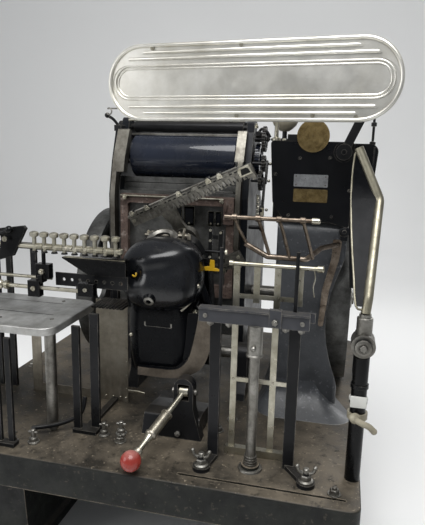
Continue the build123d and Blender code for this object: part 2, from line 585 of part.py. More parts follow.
# Arm that carries the guard, turning on the cover's pin
back_face = GUARD_T
pin_y = GUARD_Y + (GUARD_PIN_X - GUARD_X) * sin(turn) / cos(turn) + back_face
arm_y = COVER_FACE - 20
run_x = GUARD_PIN_X - BOSS_X
run_z = GUARD_PIN_Z - BOSS_Z
reach = (run_x ** 2 + run_z ** 2) ** 0.5
arm = rod_y(BOSS_R, arm_y - 8, COVER_FACE - 6.3, BOSS_X, BOSS_Z)
tilt = Plane(origin=((GUARD_PIN_X + BOSS_X) / 2, arm_y, (GUARD_PIN_Z + BOSS_Z) / 2),
             x_dir=(run_z, 0, -run_x), z_dir=(run_x, 0, run_z))
arm += tilt * Box(GUARD_ARM_W, 8, reach)
arm += rod_y(9, pin_y - 20, arm_y + 4, GUARD_PIN_X, GUARD_PIN_Z)
arm = arm & (guard_plane * (Pos(0, 0, -GUARD_T / 2 - 1000) * Box(4000, 2000, 2000)))
arm -= rod_y(BOSS_PIN_R + RUN, arm_y - 40, COVER_FACE + 5, BOSS_X, BOSS_Z)
save(arm, "guard_arm")

# Control lever: bent bright tube in a pivoting head on a black post
head_top = HEAD_Z + 78
head = rod_y(HEAD_R, HEAD_Y - 29, HEAD_Y + 29, HEAD_X, HEAD_Z)
head += rod_z(LEVER_POST_R, HEAD_Z, head_top - 16, HEAD_X, HEAD_Y)
head += rod_z(LEVER_POST_R - 5, head_top - 16, head_top, HEAD_X, HEAD_Y)
tube = pipe([(HEAD_X, HEAD_Y, head_top), (HEAD_X + 4, HEAD_Y + 10, head_top + 36),
             (HEAD_X + 20, HEAD_Y + 154, 1150), (HEAD_X - 43, HEAD_Y + 176, 1284)], TUBE_R, 30)
head -= rod_y(HEAD_PIN_R + RUN, HEAD_Y - 80, HEAD_Y + 80, HEAD_X, HEAD_Z)
head -= tube
save(head, "lever_head")
save(tube, "control_lever")
post_top = HEAD_Z - HEAD_R - 6
post = rod_z(LEVER_POST_R, BASE_TOP, post_top, HEAD_X, HEAD_Y)
for z in (HEAD_Z - 160, HEAD_Z - 118):
    post += rod_z(LEVER_POST_R + 3, z, z + 10, HEAD_X, HEAD_Y)
post += box(HEAD_X - 20, HEAD_X + 20, HEAD_Y + 29.3, HEAD_Y + 45, post_top - 46, HEAD_Z + 20)
post += box(HEAD_X - 20, HEAD_X + 20, HEAD_Y, HEAD_Y + 45, post_top - 56, post_top)
post += rod_y(HEAD_PIN_R, HEAD_Y - 40, HEAD_Y + 40, HEAD_X, HEAD_Z)
post += rod_y(HEAD_R - 8, HEAD_Y - 38, HEAD_Y - 29.3, HEAD_X, HEAD_Z)
save(post, "lever_post")

# Delivery table: crossbar with a top lip and a rear bar, on a round post that slides in the deck
post = rod_z(POST_R, BASE_TOP - DECK + 10, CROSS_Z, POST_X, POST_Y)
post += rod_z(POST_HEAD_R, CROSS_Z - 84, CROSS_Z, POST_X, POST_Y)
save(post, "delivery_post")
cross_y0 = POST_Y - CROSS_W / 2
cross_y1 = POST_Y + CROSS_W / 2
cross = box(CROSS_X0, CROSS_X1, cross_y0 + 4, cross_y1, CROSS_Z, CROSS_Z + CROSS_H)
cross += box(CROSS_X0, CROSS_X1, cross_y0, cross_y1, CROSS_Z + CROSS_H - 5, CROSS_Z + CROSS_H)
cross += box(368, 400, cross_y0 - 4, cross_y0 + 10, CROSS_Z + 4, CROSS_Z + CROSS_H + 10)
rear_y = STANDARD_Y + STANDARD_T / 2 + 6
cross += box(CROSS_X0 + 50, CROSS_X1 + 12, rear_y, rear_y + 8, CROSS_Z + 8, CROSS_Z + CROSS_H - 6)
for x in (266, 393):
    cross += box(x - 8, x + 8, cross_y1, rear_y, CROSS_Z + 8, CROSS_Z + CROSS_H - 6)
save(cross, "delivery_crossbar")

# Standards behind the crossbar: flat bars with a thin rod above and a clamp foot in front
for name, bar_x, rod_at, foot_x in (("standard_left", 222, 232, 206), ("standard_right", 433, 430, 486)):
    std = box(bar_x - STANDARD_W / 2, bar_x + STANDARD_W / 2, STANDARD_Y - STANDARD_T / 2,
              STANDARD_Y + STANDARD_T / 2, BASE_TOP, CROSS_Z + 10)
    std += rod_z(STANDARD_T / 2, CROSS_Z, STANDARD_TOP, rod_at, STANDARD_Y)
    strap = Plane.XY.offset(BASE_TOP) * make_face(Polyline(
        (bar_x - STANDARD_W / 2, STANDARD_Y + 4), (bar_x + STANDARD_W / 2, STANDARD_Y + 4),
        (foot_x + 18, POST_Y - 40), (foot_x - 18, POST_Y - 40), close=True))
    std += extrude(strap, 12)
    std += rod_z(24, BASE_TOP, BASE_TOP + 12, foot_x, POST_Y - 40)
    std += rod_z(9, BASE_TOP, BASE_TOP + 40, foot_x, POST_Y - 42)
    save(std, name)

# Fence behind the delivery: round rail, flat bars and a foot
fence = rod_x(6, 246, 492, FENCE_Y, FENCE_TOP)
for x, z0 in ((267, BASE_TOP + 20), (322, CROSS_Z + 42), (377, BASE_TOP + 20), (436, CROSS_Z + 42)):
    fence += box(x - FENCE_BAR_W / 2, x + FENCE_BAR_W / 2, FENCE_Y - 3, FENCE_Y + 3, z0, FENCE_TOP)
for z in (BASE_TOP + 220, CROSS_Z + 52):
    fence += box(267, 444, FENCE_Y - 3, FENCE_Y + 3, z, z + 12)
fence += box(250, 444, FENCE_Y - 10, FENCE_Y + 10, BASE_TOP, BASE_TOP + 22)
save(fence, "delivery_fence")

# Bronze rake: top rail with a ball end, bent fingers and a lower tube that runs back to the column
rake = rod_x(RAKE_R, 212, 464, RAKE_Y, RAKE_Z)
rake += Pos(464, RAKE_Y, RAKE_Z) * Sphere(RAKE_R + 2)
low_z = RAKE_Z - 116
for x, drop in ((240, 82), (306, 112), (364, 116), (428, 112)):
    rake += pipe([(x, RAKE_Y, RAKE_Z), (x + 10, RAKE_Y + 16, RAKE_Z - 34),
                  (x + 30, RAKE_Y + 48, RAKE_Z - drop)], 5, 10)
rake += pipe([(264, RAKE_Y + 48, RAKE_Z - 80), (330, RAKE_Y + 48, low_z + 2), (440, RAKE_Y + 50, low_z),
              (476, RAKE_Y + 150, low_z + 18), (524, COL_FRONT - 24, low_z + 20)], 8, 16)
rake += plate_xz([(508, low_z + 34), (536, low_z + 34), (530, low_z - 30), (506, low_z - 130), (494, low_z - 250),
                  (478, low_z - 250), (484, low_z - 130), (506, low_z - 30)],
                 [4, 10, 40, 60, 6, 6, 60, 40], COL_FRONT - 22, COL_FRONT - 16)
for x, z in ((519, low_z + 20), (492, low_z - 190)):
    rake += rod_y(9, COL_FRONT - 28, COL_FRONT, x, z)
save(rake, "delivery_rake")

# Feed table with rounded corners and a thick lip, on its sliding post
table_x = (FEED_LEFT + FEED_RIGHT) / 2
table_y = (FEED_FRONT + FEED_BACK) / 2
top = Pos(table_x, table_y) * RectangleRounded(FEED_RIGHT - FEED_LEFT, FEED_BACK - FEED_FRONT, 44)
table = extrude(Plane.XY.offset(FEED_TOP - FEED_T) * top, FEED_T)
table = fillet(table.faces().sort_by(Axis.Z)[-1].edges(), 4)
table += rod_z(FEED_POST_R + 16, FEED_TOP - FEED_T - 14, FEED_TOP - FEED_T, FEED_X, FEED_Y)
save(table, "feed_table")
save(rod_z(FEED_POST_R, BASE_TOP - DECK + 10, FEED_TOP - FEED_T - 14, FEED_X, FEED_Y), "feed_post")

# Feeder frame: rear posts and rail, arms to the front, a pierced strip and the upright bars by the table
right_x = FEED_RIGHT + 34
feeder = box(FEEDER_LEFT, FEEDER_LEFT + FEEDER_BAR, FEEDER_BACK - FEEDER_BAR, FEEDER_BACK, BASE_TOP, FEEDER_TOP)
feeder += box(right_x, right_x + FEEDER_BAR, FEEDER_BACK - FEEDER_BAR, FEEDER_BACK, BASE_TOP, FEEDER_TOP)
for x in (-575, -480):
    feeder += box(x - 10, x + 10, FEEDER_BACK - FEEDER_BAR, FEEDER_BACK - 8, BASE_TOP, FEEDER_TOP - 19)
feeder += box(FEEDER_LEFT, right_x + FEEDER_BAR, FEEDER_BACK - FEEDER_BAR, FEEDER_BACK, FEEDER_TOP - 19, FEEDER_TOP)
feeder += box(right_x, right_x + FEEDER_BAR, STRIP_Y + 8, FEEDER_BACK - FEEDER_BAR, FEEDER_TOP - 19, FEEDER_TOP)
strip_top = FEEDER_TOP - STRIP_DROP
feeder += box(right_x, right_x + FEEDER_BAR, STRIP_Y + 8, STRIP_Y + 26, strip_top - STRIP_H + 4, FEEDER_TOP - 18)
feeder += box(right_x, right_x + FEEDER_BAR, STRIP_Y + 3, STRIP_Y + 9, strip_top - STRIP_H + 4, strip_top - 4)
for x in (-600, -520):
    feeder += box(x - 9, x + 9, SUCKER_Y - 8, FEEDER_BACK - FEEDER_BAR, FEEDER_TOP - 12, FEEDER_TOP)
strip = box(-293, -62, STRIP_Y, STRIP_Y + 4, strip_top - STRIP_H, strip_top)
for k in range(8):
    strip -= rod_y(5, STRIP_Y - 1, STRIP_Y + 5, -84 - 26 * k, strip_top - STRIP_H / 2)
feeder += strip
feeder += box(FEED_RIGHT + AIR, FEED_RIGHT + 32, FEED_Y - 5, FEED_Y + 5, BASE_TOP, FEED_TOP - 20)
feeder += box(FEED_RIGHT + 56, FEED_RIGHT + 84, FEED_Y + 15, FEED_Y + 25, BASE_TOP, FEED_TOP + 16)
feeder += box(FEED_RIGHT + AIR, FEED_RIGHT + 84, FEED_Y - 14, FEED_Y + 30, BASE_TOP, BASE_TOP + 12)
feeder += box(right_x, right_x + FEEDER_BAR, FEED_Y, FEEDER_BACK, BASE_TOP, BASE_TOP + 12)
save(feeder, "feeder_frame")

# Sucker bar with its nozzles, held at the left end
suckers = rod_x(SUCKER_R, -620, -76, SUCKER_Y, SUCKER_Z)
for k in range(SUCKER_COUNT):
    nozzle_x = -86 - SUCKER_PITCH * k
    suckers += rod_z(6, SUCKER_Z - 14, SUCKER_Z + 32, nozzle_x, SUCKER_Y)
    suckers += rod_z(12, SUCKER_Z + 30, SUCKER_Z + 42, nozzle_x, SUCKER_Y)
for x in (-600, -520):
    suckers += box(x - 9, x + 9, SUCKER_Y - 8, SUCKER_Y + 8, FEEDER_TOP, SUCKER_Z + 12)
save(suckers, "sucker_bar")

# Separator tray: wedge-ended box with a lip, lying on the right arm
tray = plate_xz([(-273, FEEDER_TOP + 4), (-66, FEEDER_TOP + 10), (-66, strip_top), (-184, strip_top)],
                [2, 2, 2, 6], STRIP_Y - 6, STRIP_Y + 8)
tray += box(-214, -66, STRIP_Y + 7, STRIP_Y + 30, FEEDER_TOP, FEEDER_TOP + 4)
tray += box(-260, -66, STRIP_Y - 12, STRIP_Y - 5, FEEDER_TOP, FEEDER_TOP + 4)
save(tray, "separator_tray")

# Lower chrome rod on a hanger from the left arm
rod_z0 = FEEDER_TOP - 83
rod = rod_x(RAKE_R, -620, -150, FEED_Y, rod_z0)
rod += box(-609, -591, FEED_Y - 6, SUCKER_Y + 6, rod_z0 - 10, FEEDER_TOP - 12)
save(rod, "air_rod")

# Steel panels beside the press, joined at their foot
panel = box(-247, -134, -228, -225, BASE_TOP, FEED_TOP)
panel += box(-492, -456, -228, -225, BASE_TOP, FEED_TOP - 60)
panel += box(-492, -134, -228, -225, BASE_TOP, BASE_TOP + 30)
panel -= box(right_x - 1, right_x + FEEDER_BAR + 1, -229, -224, BASE_TOP - 1, BASE_TOP + 13)
save(panel, "feeder_panel")
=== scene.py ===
from math import cos, exp, pi, radians, sin

import bmesh
import bpy
from mathutils import Matrix, Vector


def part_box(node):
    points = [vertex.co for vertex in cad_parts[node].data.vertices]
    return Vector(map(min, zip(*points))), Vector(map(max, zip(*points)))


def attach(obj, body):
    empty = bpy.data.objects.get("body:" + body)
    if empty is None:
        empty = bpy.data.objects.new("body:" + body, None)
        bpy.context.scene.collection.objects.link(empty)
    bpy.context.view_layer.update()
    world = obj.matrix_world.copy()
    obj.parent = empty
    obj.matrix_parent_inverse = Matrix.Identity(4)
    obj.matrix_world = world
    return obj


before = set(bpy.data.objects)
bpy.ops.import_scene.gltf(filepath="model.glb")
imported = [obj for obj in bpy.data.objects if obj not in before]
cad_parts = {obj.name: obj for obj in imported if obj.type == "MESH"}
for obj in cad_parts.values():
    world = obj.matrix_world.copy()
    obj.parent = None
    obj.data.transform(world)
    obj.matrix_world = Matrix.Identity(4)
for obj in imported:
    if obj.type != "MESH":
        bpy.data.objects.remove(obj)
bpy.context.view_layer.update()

bl_info = {
    "name": "Platen press dressing",
    "version": (1, 0, 0),
    "blender": (4, 5, 0),
    "location": "View3D > Sidebar > Press",
    "description": "Adds finishes, fasteners and small fittings to the packed platen press and lights it",
    "category": "Object",
}

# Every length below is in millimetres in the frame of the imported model.
MM = 0.001
LEAN = radians(20)
UP_LEAN = Vector((0, -sin(LEAN), cos(LEAN)))
OUT_LEAN = Vector((0, -cos(LEAN), -sin(LEAN)))
ACROSS = Vector((1, 0, 0))
BACK = Vector((0, 1, 0))
FRONT = Vector((0, -1, 0))
UP = Vector((0, 0, 1))

# Places on the solids that pieces stand on. Pairs are (x, y), or (y, z) on bars along X.
DECK_TOP = 420
FOOT_TOP = 432
COLUMN_TOP = 1301
STANDARD_X = (206, 486)
STANDARD_Y = -545
DELIVERY_POST = (333, -503)
FENCE_RAIL = (-438, 974)
RAKE = (-360, 1088)
SUCKER_BAR = (-428, 980)
AIR_ROD = (-450, 862)
THROW_OFF_PIN = Vector((113, -395, 568))
LEVER_HEAD = (604, -476, 799)
# The windmill's hub with the tilt of its bars, and the guard's middle with its own directions.
HUB = Vector((50, -180, 990))
BAR_TILT = radians(25.5)
GUARD_MIDDLE = Vector((248, -330, 1452))
GUARD_TURN = radians(-6)
GUARD_ACROSS = Vector((cos(GUARD_TURN), sin(GUARD_TURN), 0))
GUARD_OUT = Vector((sin(GUARD_TURN), -cos(GUARD_TURN), 0))


def spot(node):
    """Lowest and highest corner of a CAD node, in mm."""
    low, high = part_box(node)
    return low / MM, high / MM


# Finishes: one small node builder each, all lengths in mm.


def linear(code):
    """Linear RGBA of an sRGB hex colour."""
    parts = [int(code[i:i + 2], 16) / 255 for i in (1, 3, 5)]
    return [p / 12.92 if p <= 0.04045 else ((p + 0.055) / 1.055) ** 2.4 for p in parts] + [1.0]


def add_node(tree, kind, values=None, links=None, **settings):
    """Add one node with its settings, its socket values and what feeds its sockets."""
    node = tree.nodes.new(kind)
    for key, value in settings.items():
        setattr(node, key, value)
    for key, value in (values or {}).items():
        node.inputs[key].default_value = value
    for key, source in (links or {}).items():
        tree.links.new(source, node.inputs[key])
    return node


def new_finish(name, metallic, roughness, coat=0.0, gloss=0.5):
    """An empty finish: the material, its tree, its shader and coordinates in metres."""
    material = bpy.data.materials.new(name)
    material.use_nodes = True
    tree = material.node_tree
    tree.nodes.clear()
    shader = add_node(tree, "ShaderNodeBsdfPrincipled",
                      {"Metallic": metallic, "Roughness": roughness, "Coat Weight": coat,
                       "Specular IOR Level": gloss})
    add_node(tree, "ShaderNodeOutputMaterial", links={"Surface": shader.outputs["BSDF"]})
    place = add_node(tree, "ShaderNodeTexCoord").outputs["Object"]
    return material, tree, shader, place


def noise(tree, place, size_mm, detail=4.0, rough=0.6, stretch=None):
    """Noise whose blotches are about size_mm across."""
    if stretch:
        place = add_node(tree, "ShaderNodeMapping", {"Scale": stretch}, {"Vector": place}).outputs["Vector"]
    return add_node(tree, "ShaderNodeTexNoise",
                    {"Scale": 1000 / size_mm, "Detail": detail, "Roughness": rough},
                    {"Vector": place}).outputs["Fac"]


def ramp(tree, source, low, high, low_value=0.0, high_value=1.0):
    """Turn the stretch low..high of a value into low_value..high_value."""
    return add_node(tree, "ShaderNodeMapRange",
                    {"From Min": low, "From Max": high, "To Min": low_value, "To Max": high_value},
                    {"Value": source}).outputs["Result"]


def times(tree, a, b):
    """Product of two values."""
    return add_node(tree, "ShaderNodeMath", links={0: a, 1: b}, operation="MULTIPLY").outputs["Value"]


def blend_colours(tree, share, a, b):
    """Mix of two colours, each a hex code or a socket."""
    values = {}
    links = {"Factor": share}
    for key, colour in ((6, a), (7, b)):
        if isinstance(colour, str):
            values[key] = linear(colour)
        else:
            links[key] = colour
    return add_node(tree, "ShaderNodeMix", values, links, data_type="RGBA").outputs[2]


def edge_share(tree, radius_mm):
    """1 along worn edges and 0 on flats, from the normal of a slightly rounded edge."""
    soft = add_node(tree, "ShaderNodeBevel", {"Radius": radius_mm * MM}, samples=4)
    hard = add_node(tree, "ShaderNodeNewGeometry")
    normals = {0: soft.outputs["Normal"], 1: hard.outputs["Normal"]}
    dot = add_node(tree, "ShaderNodeVectorMath", links=normals, operation="DOT_PRODUCT").outputs["Value"]
    starts, full = 0.985, 0.88
    return ramp(tree, dot, starts, full)


def facing_up(tree):
    """1 on surfaces that face the ceiling, where dust and oil settle."""
    normal = add_node(tree, "ShaderNodeNewGeometry").outputs["Normal"]
    z = add_node(tree, "ShaderNodeSeparateXYZ", links={"Vector": normal}).outputs["Z"]
    starts, full = 0.55, 0.95
    return ramp(tree, z, starts, full)


def bump(tree, shader, height, depth_mm):
    """Relief of the given depth on the shader's normal."""
    depth = {"Distance": depth_mm * MM, "Strength": 1.0}
    node = add_node(tree, "ShaderNodeBump", depth, {"Height": height})
    tree.links.new(node.outputs["Normal"], shader.inputs["Normal"])


def enamel(name, base, deep, worn, dust, roughness, grain_mm, relief_mm, dusty, coat=0.0, wear=0.6,
           spots=None, gloss=0.2):
    """Stove enamel over iron: two close tones, rubbed edges, settled dust and a fine relief."""
    material, tree, shader, place = new_finish(name, 0.0, roughness, coat, gloss)
    cloud_mm, shine_mm, dust_mm, rubbed_mm, edge_mm = 140, 60, 45, 22, 3.0
    cloud = ramp(tree, noise(tree, place, cloud_mm), 0.35, 0.65)
    colour = blend_colours(tree, cloud, base, deep)
    if spots:
        fleck = ramp(tree, noise(tree, place, grain_mm * 2.2, 2.0), 0.6, 0.72)
        colour = blend_colours(tree, times(tree, fleck, cloud), colour, spots)
    rubbed = ramp(tree, noise(tree, place, rubbed_mm), 0.35, 0.62, 0.0, wear)
    edge = times(tree, edge_share(tree, edge_mm), rubbed)
    colour = blend_colours(tree, edge, colour, worn)
    film = ramp(tree, noise(tree, place, dust_mm), 0.3, 0.7, dusty * 0.4, dusty)
    settled = times(tree, facing_up(tree), film)
    colour = blend_colours(tree, settled, colour, dust)
    tree.links.new(colour, shader.inputs["Base Color"])
    shine = ramp(tree, noise(tree, place, shine_mm), 0.3, 0.7, roughness - 0.07, roughness + 0.12)
    tree.links.new(shine, shader.inputs["Roughness"])
    bump(tree, shader, noise(tree, place, grain_mm, 3.0), relief_mm)
    return material


def bare_metal(name, base, tarnish, roughness, blotch_mm, stretch=None, relief_mm=0.02, dirt=None,
               dirty=0.0, grain_mm=3.0, uneven=1.0):
    """Bare or plated metal: clean and tarnished tones, uneven polish and dirt that settles."""
    material, tree, shader, place = new_finish(name, 1.0, roughness)
    cloud = ramp(tree, noise(tree, place, blotch_mm, 5.0, 0.65), 0.38, 0.66)
    colour = blend_colours(tree, cloud, base, tarnish)
    if dirt:
        share = ramp(tree, noise(tree, place, blotch_mm * 0.45, 6.0, 0.7), 0.5, 0.7, 0.0, dirty)
        colour = blend_colours(tree, share, colour, dirt)
        tree.links.new(ramp(tree, share, 0.0, 1.0, 1.0, 0.45), shader.inputs["Metallic"])
    tree.links.new(colour, shader.inputs["Base Color"])
    streak = noise(tree, place, grain_mm, 3.0, 0.6, stretch)
    polish = ramp(tree, streak, 0.3, 0.7, roughness - 0.08 * uneven, roughness + 0.14 * uneven)
    tree.links.new(polish, shader.inputs["Roughness"])
    bump(tree, shader, streak, relief_mm)
    return material


def worn_deck():
    """Black enamel, rubbed away on the deck to oily grey-brown dirt, with bare iron at the edges."""
    material, tree, shader, place = new_finish("base_enamel_rubbed_to_oily_iron", 0.0, 0.5, 0.0, 0.25)
    side = blend_colours(tree, ramp(tree, noise(tree, place, 90, 6.0), 0.4, 0.7), "#0d0f0e", "#1e201c")
    chips = ramp(tree, noise(tree, place, 14, 5.0, 0.7), 0.6, 0.68)
    side = blend_colours(tree, chips, side, "#39352d")
    cloud = ramp(tree, noise(tree, place, 160, 7.0, 0.68), 0.38, 0.62)
    dirt = blend_colours(tree, cloud, "#2b2823", "#5f574b")
    dirt = blend_colours(tree, ramp(tree, noise(tree, place, 30, 6.0, 0.7), 0.55, 0.7), dirt, "#191815")
    dirt = blend_colours(tree, ramp(tree, noise(tree, place, 9, 4.0), 0.62, 0.72), dirt, "#857b6b")
    top = facing_up(tree)
    colour = blend_colours(tree, top, side, dirt)
    edge = times(tree, edge_share(tree, 5.0), ramp(tree, noise(tree, place, 30), 0.3, 0.55, 0.1, 0.9))
    colour = blend_colours(tree, edge, colour, "#857b6c")
    tree.links.new(colour, shader.inputs["Base Color"])
    tree.links.new(ramp(tree, noise(tree, place, 40), 0.3, 0.7, 0.38, 0.68), shader.inputs["Roughness"])
    bump(tree, shader, noise(tree, place, 11, 6.0, 0.7), 0.7)
    return material


def rusted():
    """Cast iron with dry brown rust, as on the chase."""
    material, tree, shader, place = new_finish("chase_iron_with_brown_rust", 0.25, 0.7)
    cloud = ramp(tree, noise(tree, place, 60, 6.0, 0.7), 0.36, 0.64)
    colour = blend_colours(tree, cloud, "#43342d", "#62524a")
    colour = blend_colours(tree, ramp(tree, noise(tree, place, 8, 5.0, 0.7), 0.52, 0.66), colour, "#2d221e")
    colour = blend_colours(tree, ramp(tree, noise(tree, place, 26, 5.0), 0.56, 0.7), colour, "#8a7f78")
    tree.links.new(colour, shader.inputs["Base Color"])
    bump(tree, shader, noise(tree, place, 4, 6.0, 0.75), 0.5)
    return material


def make_finishes():
    """Every finish of the press, by a short name."""
    return {
        # Stove enamel gone soft: near-black with a blue-grey sheen and grey iron at the rubbed edges.
        "housing": enamel("housing_gloss_enamel", "#08090c", "#050608", "#5b5852", "#2c2c2e", 0.26, 9,
                          0.03, 0.1, coat=0.02, wear=0.35, gloss=0.08),
        # The same enamel on the rubbed head, with more of its gloss left.
        "head": enamel("head_gloss_enamel", "#0d0f13", "#08090c", "#5b5852", "#2c2c2e", 0.27, 9, 0.03,
                       0.15, coat=0.14, wear=0.35, gloss=0.42),
        # Blue-grey enamel of the delivery's crossbar, rubbed dull by hands.
        "crossbar": enamel("crossbar_rubbed_enamel", "#3b3c40", "#2b2c30", "#8a857a", "#55524d", 0.36, 7,
                           0.12, 0.3, wear=0.9, gloss=0.35),
        # Rough grey-black enamel on the raw casting of the column, with a sandy grain like speckle.
        "column": enamel("column_enamel_on_raw_casting", "#45474a", "#2e3033", "#8d8a83", "#6a6a68", 0.34,
                         6, 0.6, 0.3, spots="#66676a", gloss=0.4),
        # Smooth dark enamel of the covers, almost black.
        "cover": enamel("cover_satin_enamel", "#090a0e", "#060709", "#6d685f", "#2c2b2a", 0.32, 6, 0.04,
                        0.3),
        # Blue-black enamel of the side frames, dusty on top.
        "frame": enamel("side_frame_enamel", "#14161b", "#0c0e11", "#7d786f", "#4a4845", 0.34, 7, 0.12,
                        0.35, wear=0.9),
        "post": enamel("post_gloss_paint", "#08090a", "#050506", "#55534e", "#232221", 0.26, 5, 0.04, 0.2),
        # Dark oily castings between the frames.
        "oily": enamel("oily_dark_casting", "#1b1b1d", "#0e0f10", "#77736b", "#3f3b35", 0.33, 6, 0.15, 0.4,
                       wear=0.9),
        "deck": worn_deck(),
        "rust": rusted(),
        # Nickel plate on sheet iron, rubbed: pale warm grey with soft vertical variation in polish.
        "guard": bare_metal("guard_worn_nickel_plate", "#e0ded7", "#c6c3b9", 0.36, 160, relief_mm=0.02,
                            dirt="#aaa69a", dirty=0.15, grain_mm=45, uneven=0.3),
        # Nickel plate on the rods and the fence, yellowed and scuffed.
        "nickel": bare_metal("rod_yellowed_nickel_plate", "#bab6a8", "#96917f", 0.32, 70, relief_mm=0.004,
                             dirt="#6a6356", dirty=0.3, grain_mm=14),
        # Nickel plate on the hand lever, dulled by hands.
        "lever": bare_metal("lever_handled_nickel_plate", "#a5a08f", "#868170", 0.42, 70, relief_mm=0.004,
                            dirt="#5f5848", dirty=0.4, grain_mm=14),
        # Ground steel of the rails: bright with lengthwise wear.
        "rail": bare_metal("rail_ground_steel", "#7d7a72", "#55514a", 0.4, 60, (1, 1, 0.12),
                           relief_mm=0.005, dirt="#3f3933", dirty=0.5),
        # Ground steel with an oily skin: bars, tables and posts, greyer than the nickel.
        "steel": bare_metal("oily_ground_steel", "#96948e", "#6a6761", 0.4, 60, dirt="#35322d", dirty=0.6),
        # Sheet steel of the feeder's panels: brown-grey, wiped up and down.
        "panel": bare_metal("panel_wiped_sheet_steel", "#a09a8d", "#7e776a", 0.42, 90, (1, 1, 0.06),
                            relief_mm=0.01, dirt="#4f4940", dirty=0.3, grain_mm=8),
        # Bare worn iron of the housing's band, brown-grey and matt.
        "band": bare_metal("band_worn_bare_iron", "#736b61", "#554e46", 0.5, 70, relief_mm=0.03,
                           dirt="#3c362f", dirty=0.4, grain_mm=9),
        # Table steel, rubbed matt by long use.
        "table": bare_metal("table_steel_rubbed_matt", "#c9c9c7", "#a3a29e", 0.5, 110, (1, 0.15, 1),
                            relief_mm=0.01, dirt="#5a5853", dirty=0.35, grain_mm=10),
        # Machined grey iron of the wheels and the bed, dulled.
        "iron": bare_metal("machined_grey_iron", "#6b6b69", "#454543", 0.46, 60, relief_mm=0.08,
                           dirt="#2e2b27", dirty=0.7),
        # Dark steel of the gripper arms: grey, worn lighter along the spine.
        "gripper": bare_metal("gripper_dark_steel", "#8d8a82", "#615f59", 0.42, 28, dirt="#2b2926",
                              dirty=0.6),
        # Bronze rake, brown with bright rubbed places.
        "bronze": bare_metal("rake_brown_bronze", "#8d8174", "#574c42", 0.32, 40, relief_mm=0.01,
                             dirt="#2e241c", dirty=0.5, grain_mm=12),
        # Aged brass of the badge and the lower plate.
        "brass": bare_metal("aged_brass", "#8d7b55", "#6a5a3b", 0.4, 18, dirt="#3a3020", dirty=0.5),
        "aluminium": bare_metal("plate_polished_aluminium", "#b5b6b7", "#949596", 0.34, 20, dirt="#6b6b6a",
                                dirty=0.4),
        # Rubber of the ink drum under a coat of ink: blue-black with a soft shine.
        "ink": enamel("drum_ink_film", "#1d222e", "#171b25", "#2b2f38", "#20242c", 0.24, 9, 0.02, 0.1,
                      coat=0.6, wear=0.1),
        # Red moulded ball, faded and scratched.
        "ball": enamel("knob_faded_red_resin", "#96362d", "#7d2c25", "#c39a92", "#b98a82", 0.28, 8, 0.03,
                       0.6, coat=0.4, wear=0.5),
        # Yellow paint on the small register block.
        "yellow": enamel("block_yellow_paint", "#c9a21c", "#a98414", "#8f8a7b", "#8a6f1c", 0.4, 5, 0.05,
                         0.2),
        "cream": enamel("handle_cream_resin", "#a59f8c", "#7f7969", "#5c574b", "#6b6657", 0.4, 5, 0.05,
                        0.2),
        # Knurled steel sleeve, pale and rubbed.
        "sleeve": bare_metal("sleeve_knurled_steel", "#b3ada0", "#8c8679", 0.4, 20, dirt="#4a453c",
                             dirty=0.4),
        "tag": enamel("tag_white_enamel", "#c9c9c4", "#a9a9a4", "#6b6760", "#8a8880", 0.35, 6, 0.02, 0.2,
                      wear=0.3),
    }


NODE_FINISH = {
    "housing": ["drive_housing"],
    "column": ["column_casting"],
    "cover": ["column_cover", "wheel_cover"],
    "frame": ["side_frame_left", "side_frame_right"],
    "crossbar": ["delivery_crossbar"],
    "post": ["lever_post", "separator_tray"],
    "oily": ["platen", "pivot_bracket_left", "pivot_bracket_right", "lever_bracket", "feeder_frame",
             "guard_arm", "standard_left", "standard_right", "ink_roller"],
    "deck": ["base_bed"],
    "rust": ["chase_frame"],
    "guard": ["guard_plate"],
    "lever": ["control_lever"],
    "nickel": ["impression_lever", "delivery_fence", "sucker_bar", "air_rod"],
    "rail": ["rail_left", "rail_right"],
    "steel": ["pivot_shaft", "flywheel_shaft", "delivery_post", "feed_post", "lever_head"],
    "panel": ["feeder_panel"],
    "table": ["feed_table"],
    "iron": ["flywheel", "flywheel_left", "bed_plate", "ink_tray"],
    "gripper": ["gripper_windmill"],
    "bronze": ["delivery_rake"],
    "brass": ["badge_round", "plate_brass"],
    "aluminium": ["plate_silver"],
    "ink": ["ink_drum"],
    "ball": ["lever_ball"],
}


# Mesh tools.


def add_turned(bm, base, axis, profile, count=28):
    """Lathe a profile of (distance, radius) pairs about an axis that starts at base."""
    axis = Vector(axis).normalized()
    side = axis.orthogonal().normalized()
    other = axis.cross(side)
    rings = []
    for along, radius in profile:
        centre = Vector(base) + axis * along
        if radius == 0:
            rings.append([bm.verts.new(centre)])
            continue
        turn = [2 * pi * k / count for k in range(count)]
        rings.append([bm.verts.new(centre + (side * cos(t) + other * sin(t)) * radius) for t in turn])
    for low, high in zip(rings, rings[1:]):
        for k in range(count):
            n = (k + 1) % count
            corners = [low[k % len(low)], low[n % len(low)], high[n % len(high)], high[k % len(high)]]
            face = list(dict.fromkeys(corners))
            if len(face) > 2:
                bm.faces.new(face)


def solid(*rim):
    """Profile of a solid form from its rim's (distance, radius) pairs, closed on the axis at both ends."""
    return [(rim[0][0], 0), *rim, (rim[-1][0], 0)]


def ring(bore, *rim):
    """Profile of a ring from its rim's (distance, radius) pairs, closed along a straight bore."""
    return [(rim[0][0], bore), *rim, (rim[-1][0], bore), (rim[0][0], bore)]


def tube(bore, radius, height):
    """Profile of a plain ring."""
    return ring(bore, (0, radius), (height, radius))


